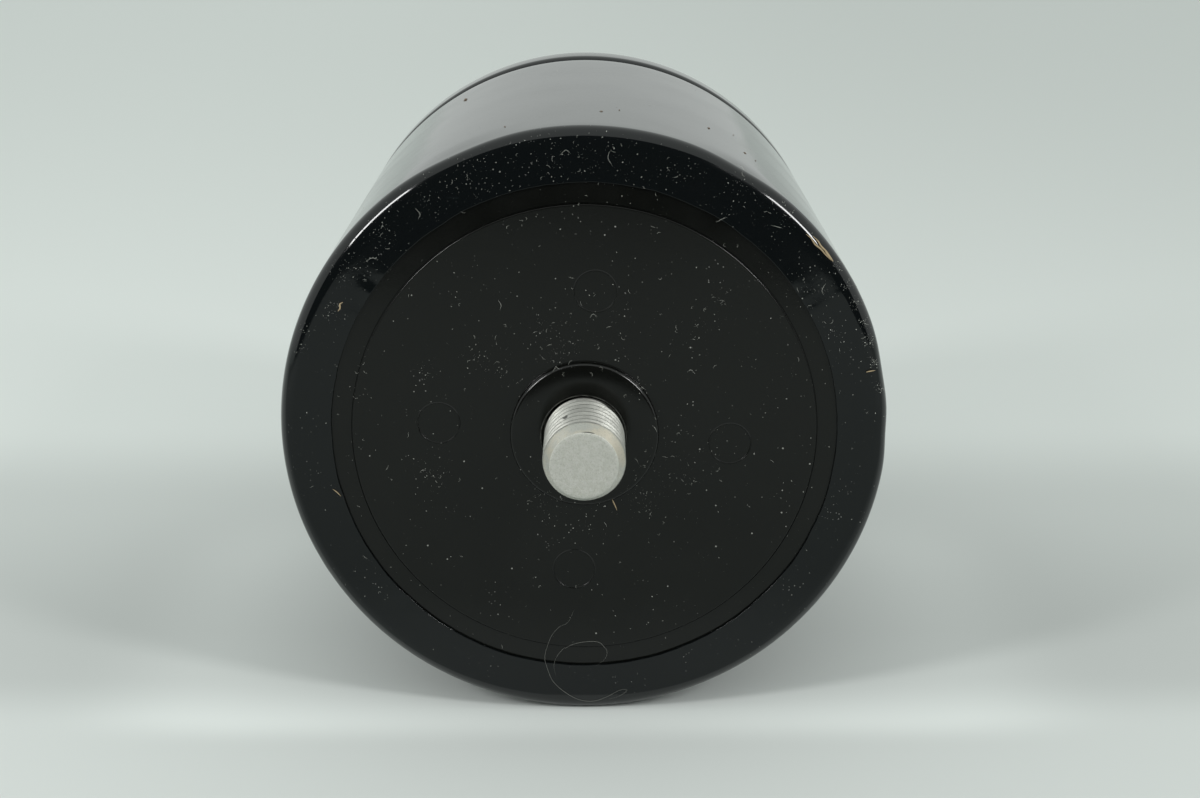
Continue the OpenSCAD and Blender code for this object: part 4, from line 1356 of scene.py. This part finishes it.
class CAPACITOR_OT_stage(bpy.types.Operator):
    """Sets the floor, the lamps, the surroundings and the camera"""

    bl_idname = "capacitor.set_stage"
    bl_label = "Set Stage"

    # Painted shade and light on the floor: soft steps in its tone that stand in for the part's shadow
    # and uneven light, and a painted lift of light beside the part. Each gives the way across it, where
    # the step starts and ends in millimetres, and the tone at either end
    FLOOR_PAINTED_LIGHT_AND_SHADE = {
        "front": ("y", -6, 14, 0.8, 0.66),
        "under": ("y", 10, 100, 0.64, 0.78),
        "past": ("y", 94, 96, 0, 1),
        "behind": ("y", 95, 150, 0.78, 0.95),
        "across": ("x", -250, 250, 1.03, 0.92),
        "beside": ("aside", 50, 92, 1, 0),
        "beside_start": ("y", -14, 0, 0, 1),
        "beside_end": ("y", 60, 110, 1, 0),
    }
    # How far the floor reaches, in metres, and the number of its corners
    FLOOR_RADIUS = 4.0
    FLOOR_CORNERS = 64

    def execute(self, context):
        scene = context.scene
        stage = scene.capacitor_stage
        self.floor(scene)
        self.painted_reflections(scene, stage)
        self.lamps(scene, stage)
        self.camera(scene, stage)
        self.world(scene, stage)
        scene.view_settings.view_transform = "Standard"
        return {"FINISHED"}

    def card(self, scene, name, corners, material):
        """A flat stage card."""
        mesh = bpy.data.meshes.new(name)
        mesh.from_pydata(corners, [], [tuple(range(len(corners)))])
        mesh.materials.append(material)
        card = bpy.data.objects.new(name, mesh)
        scene.collection.objects.link(card)
        return card

    def floor(self, scene):
        """Matt pale paper with painted shade: greyer where the part lies on it than behind and in front,
        darker towards the right, and with a painted lift of light close to the part's sides.
        """
        material, tree, shader, where = new_finish("matt_paper", Roughness=0.9, IOR=1.5)
        place = add(tree, "SeparateXYZ", (where,))
        ways = {"x": place.outputs["X"], "y": place.outputs["Y"],
                "aside": add(tree, "Math", (place.outputs["X"],), operation="ABSOLUTE")}
        # Painted shade: these steps darken the paper where the part lies and towards the right
        painted_steps = {name: add(tree, "MapRange", (ways[way], start * MM, end * MM, first, last), **SOFT)
                 for name, (way, start, end, first, last) in self.FLOOR_PAINTED_LIGHT_AND_SHADE.items()}
        near = add(tree, "Math", (painted_steps["front"], painted_steps["under"]), **LARGER)
        past = add(tree, "Math", (painted_steps["behind"], painted_steps["past"]), **TIMES)
        painted_light_and_shade = add(tree, "Math", (near, past), **LARGER)
        painted_light_and_shade = add(tree, "Math", (painted_light_and_shade, painted_steps["across"]), **TIMES)
        # Painted light: paler close to the part's sides, so that its shadow stays soft
        beside = add(tree, "Math", (painted_steps["beside_start"], painted_steps["beside_end"]), **TIMES)
        beside = add(tree, "Math", (beside, painted_steps["beside"]), **TIMES)
        lift = add(tree, "MapRange", (beside, 0, 1, 1, 1.22), **SOFT)
        painted_light_and_shade = add(tree, "Math", (painted_light_and_shade, lift), **TIMES)
        paper = opaque(scene.capacitor_colours.floor)
        feed(tree, shader, Base_Color=add(tree, "Mix", (painted_light_and_shade, (0, 0, 0, 1), paper), **TINTS))
        corners = [(self.FLOOR_RADIUS * math.sin(t), self.FLOOR_RADIUS * math.cos(t), CAD_BOX[0].z)
                   for t in around(self.FLOOR_CORNERS)[::-1]]
        self.card(scene, "floor", corners, material)

    def painted_reflections(self, scene, stage):
        """Two cards that only gloss shows and that paint reflected shade: the shaded table before the
        camera, with a painted lift of light close to the part, and the dark room.
        """
        half, far, near = stage.dark_width / 2, -stage.dark_distance, -stage.table_edge
        low, high = CAD_BOX[0].z + 0.5 * MM, stage.dark_height
        colours = scene.capacitor_colours
        table = ((-half, far, low), (half, far, low), (half, near, low), (-half, near, low))
        wall = ((-half, far, low), (half, far, low), (half, far, high), (-half, far, high))
        for name, shade, near_painted_lift, corners in (
            ("shaded_table", colours.table, colours.near_table_painted_lift, table),
            ("dark_room", colours.dark_room, colours.dark_room, wall),
        ):
            material, tree, shader, where = new_finish(name, Roughness=1.0, IOR=1.5)
            along = add(tree, "SeparateXYZ", (where,)).outputs["Y"]
            # Painted lift of light: the table card is paler close to the part
            painted_lift_near_part = add(tree, "MapRange", (along, -50 * MM, -4 * MM), **SOFT)
            feed(tree, shader,
                 Base_Color=add(tree, "Mix", (painted_lift_near_part, opaque(shade), opaque(near_painted_lift)), **TINTS))
            card = self.card(scene, name, corners, material)
            card.visible_camera = False
            card.visible_diffuse = False
            card.visible_shadow = False

    def lamps(self, scene, stage):
        """Two soft strip lamps, low on either side of the camera."""
        for name, side in (("left_lamp", -1), ("right_lamp", 1)):
            data = bpy.data.lights.new(name, "AREA")
            data.shape = "RECTANGLE"
            data.size = stage.lamp_length
            data.size_y = stage.lamp_width
            data.energy = stage.lamp_power
            lamp = bpy.data.objects.new(name, data)
            turn, rise = stage.lamp_turn * side, stage.lamp_rise
            way = Vector((math.sin(turn) * math.cos(rise), -math.cos(turn) * math.cos(rise),
                          math.sin(rise)))
            lamp.location = way * stage.lamp_distance
            outwards = Vector((side * math.cos(stage.lamp_tilt), 0, -math.sin(stage.lamp_tilt)))
            outwards = (outwards - outwards.project(way)).normalized()
            lamp.rotation_euler = Matrix((outwards, way.cross(outwards), way)).transposed().to_euler()
            scene.collection.objects.link(lamp)

    def camera(self, scene, stage):
        """The photo's viewpoint."""
        data = bpy.data.cameras.new("camera")
        data.sensor_width = SENSOR_WIDTH
        data.sensor_fit = "HORIZONTAL"
        data.lens = stage.focal_length
        data.clip_start = 10 * MM
        data.clip_end = 20
        camera = bpy.data.objects.new("camera", data)
        camera.location = stage.camera_place
        camera.rotation_euler = (math.pi / 2 - stage.camera_dip, 0, -stage.camera_turn)
        scene.collection.objects.link(camera)
        scene.camera = camera

    def world(self, scene, stage):
        """Even, pale surroundings."""
        world = bpy.data.worlds.new("pale_room")
        world.use_nodes = True
        tree = world.node_tree
        tree.nodes.clear()
        shade = add(tree, "Background", {"Color": opaque(scene.capacitor_colours.surroundings),
                                         "Strength": stage.world_level})
        add(tree, "OutputWorld", {"Surface": shade})
        scene.world = world


OPERATORS = (
    CAPACITOR_OT_stage, CAPACITOR_OT_can, CAPACITOR_OT_disc, CAPACITOR_OT_sleeve,
    CAPACITOR_OT_terminals, CAPACITOR_OT_inner_parts, CAPACITOR_OT_dirt)


class CAPACITOR_PT_panel(bpy.types.Panel):
    """Lists the steps and the sizes"""

    bl_idname = "CAPACITOR_PT_panel"
    bl_label = "Capacitor"
    bl_space_type = "VIEW_3D"
    bl_region_type = "UI"
    bl_category = "Capacitor"

    def draw(self, context):
        for operator in OPERATORS:
            self.layout.operator(operator.bl_idname)
        for name, group in GROUPS.items():
            box = self.layout.box()
            box.label(text=group.__doc__)
            for key in group.__annotations__:
                box.prop(getattr(context.scene, name), key)


def register():
    """Registers the classes and hangs the groups on the scene."""
    for group in GROUPS.values():
        bpy.utils.register_class(group)
    for operator in OPERATORS:
        bpy.utils.register_class(operator)
    bpy.utils.register_class(CAPACITOR_PT_panel)
    for name, group in GROUPS.items():
        setattr(bpy.types.Scene, name, bpy.props.PointerProperty(type=group))


def unregister():
    """Takes all of that away again."""
    for name in GROUPS:
        delattr(bpy.types.Scene, name)
    bpy.utils.unregister_class(CAPACITOR_PT_panel)
    for operator in OPERATORS:
        bpy.utils.unregister_class(operator)
    for group in GROUPS.values():
        bpy.utils.unregister_class(group)


def main():
    """Registers the add-on and builds everything in order."""
    register()
    bpy.ops.capacitor.set_stage()
    bpy.ops.capacitor.build_can()
    bpy.ops.capacitor.build_disc()
    bpy.ops.capacitor.build_sleeve()
    bpy.ops.capacitor.build_terminals()
    bpy.ops.capacitor.dress_inner_parts()
    bpy.ops.capacitor.lay_dirt()


if __name__ == "__main__":
    main()
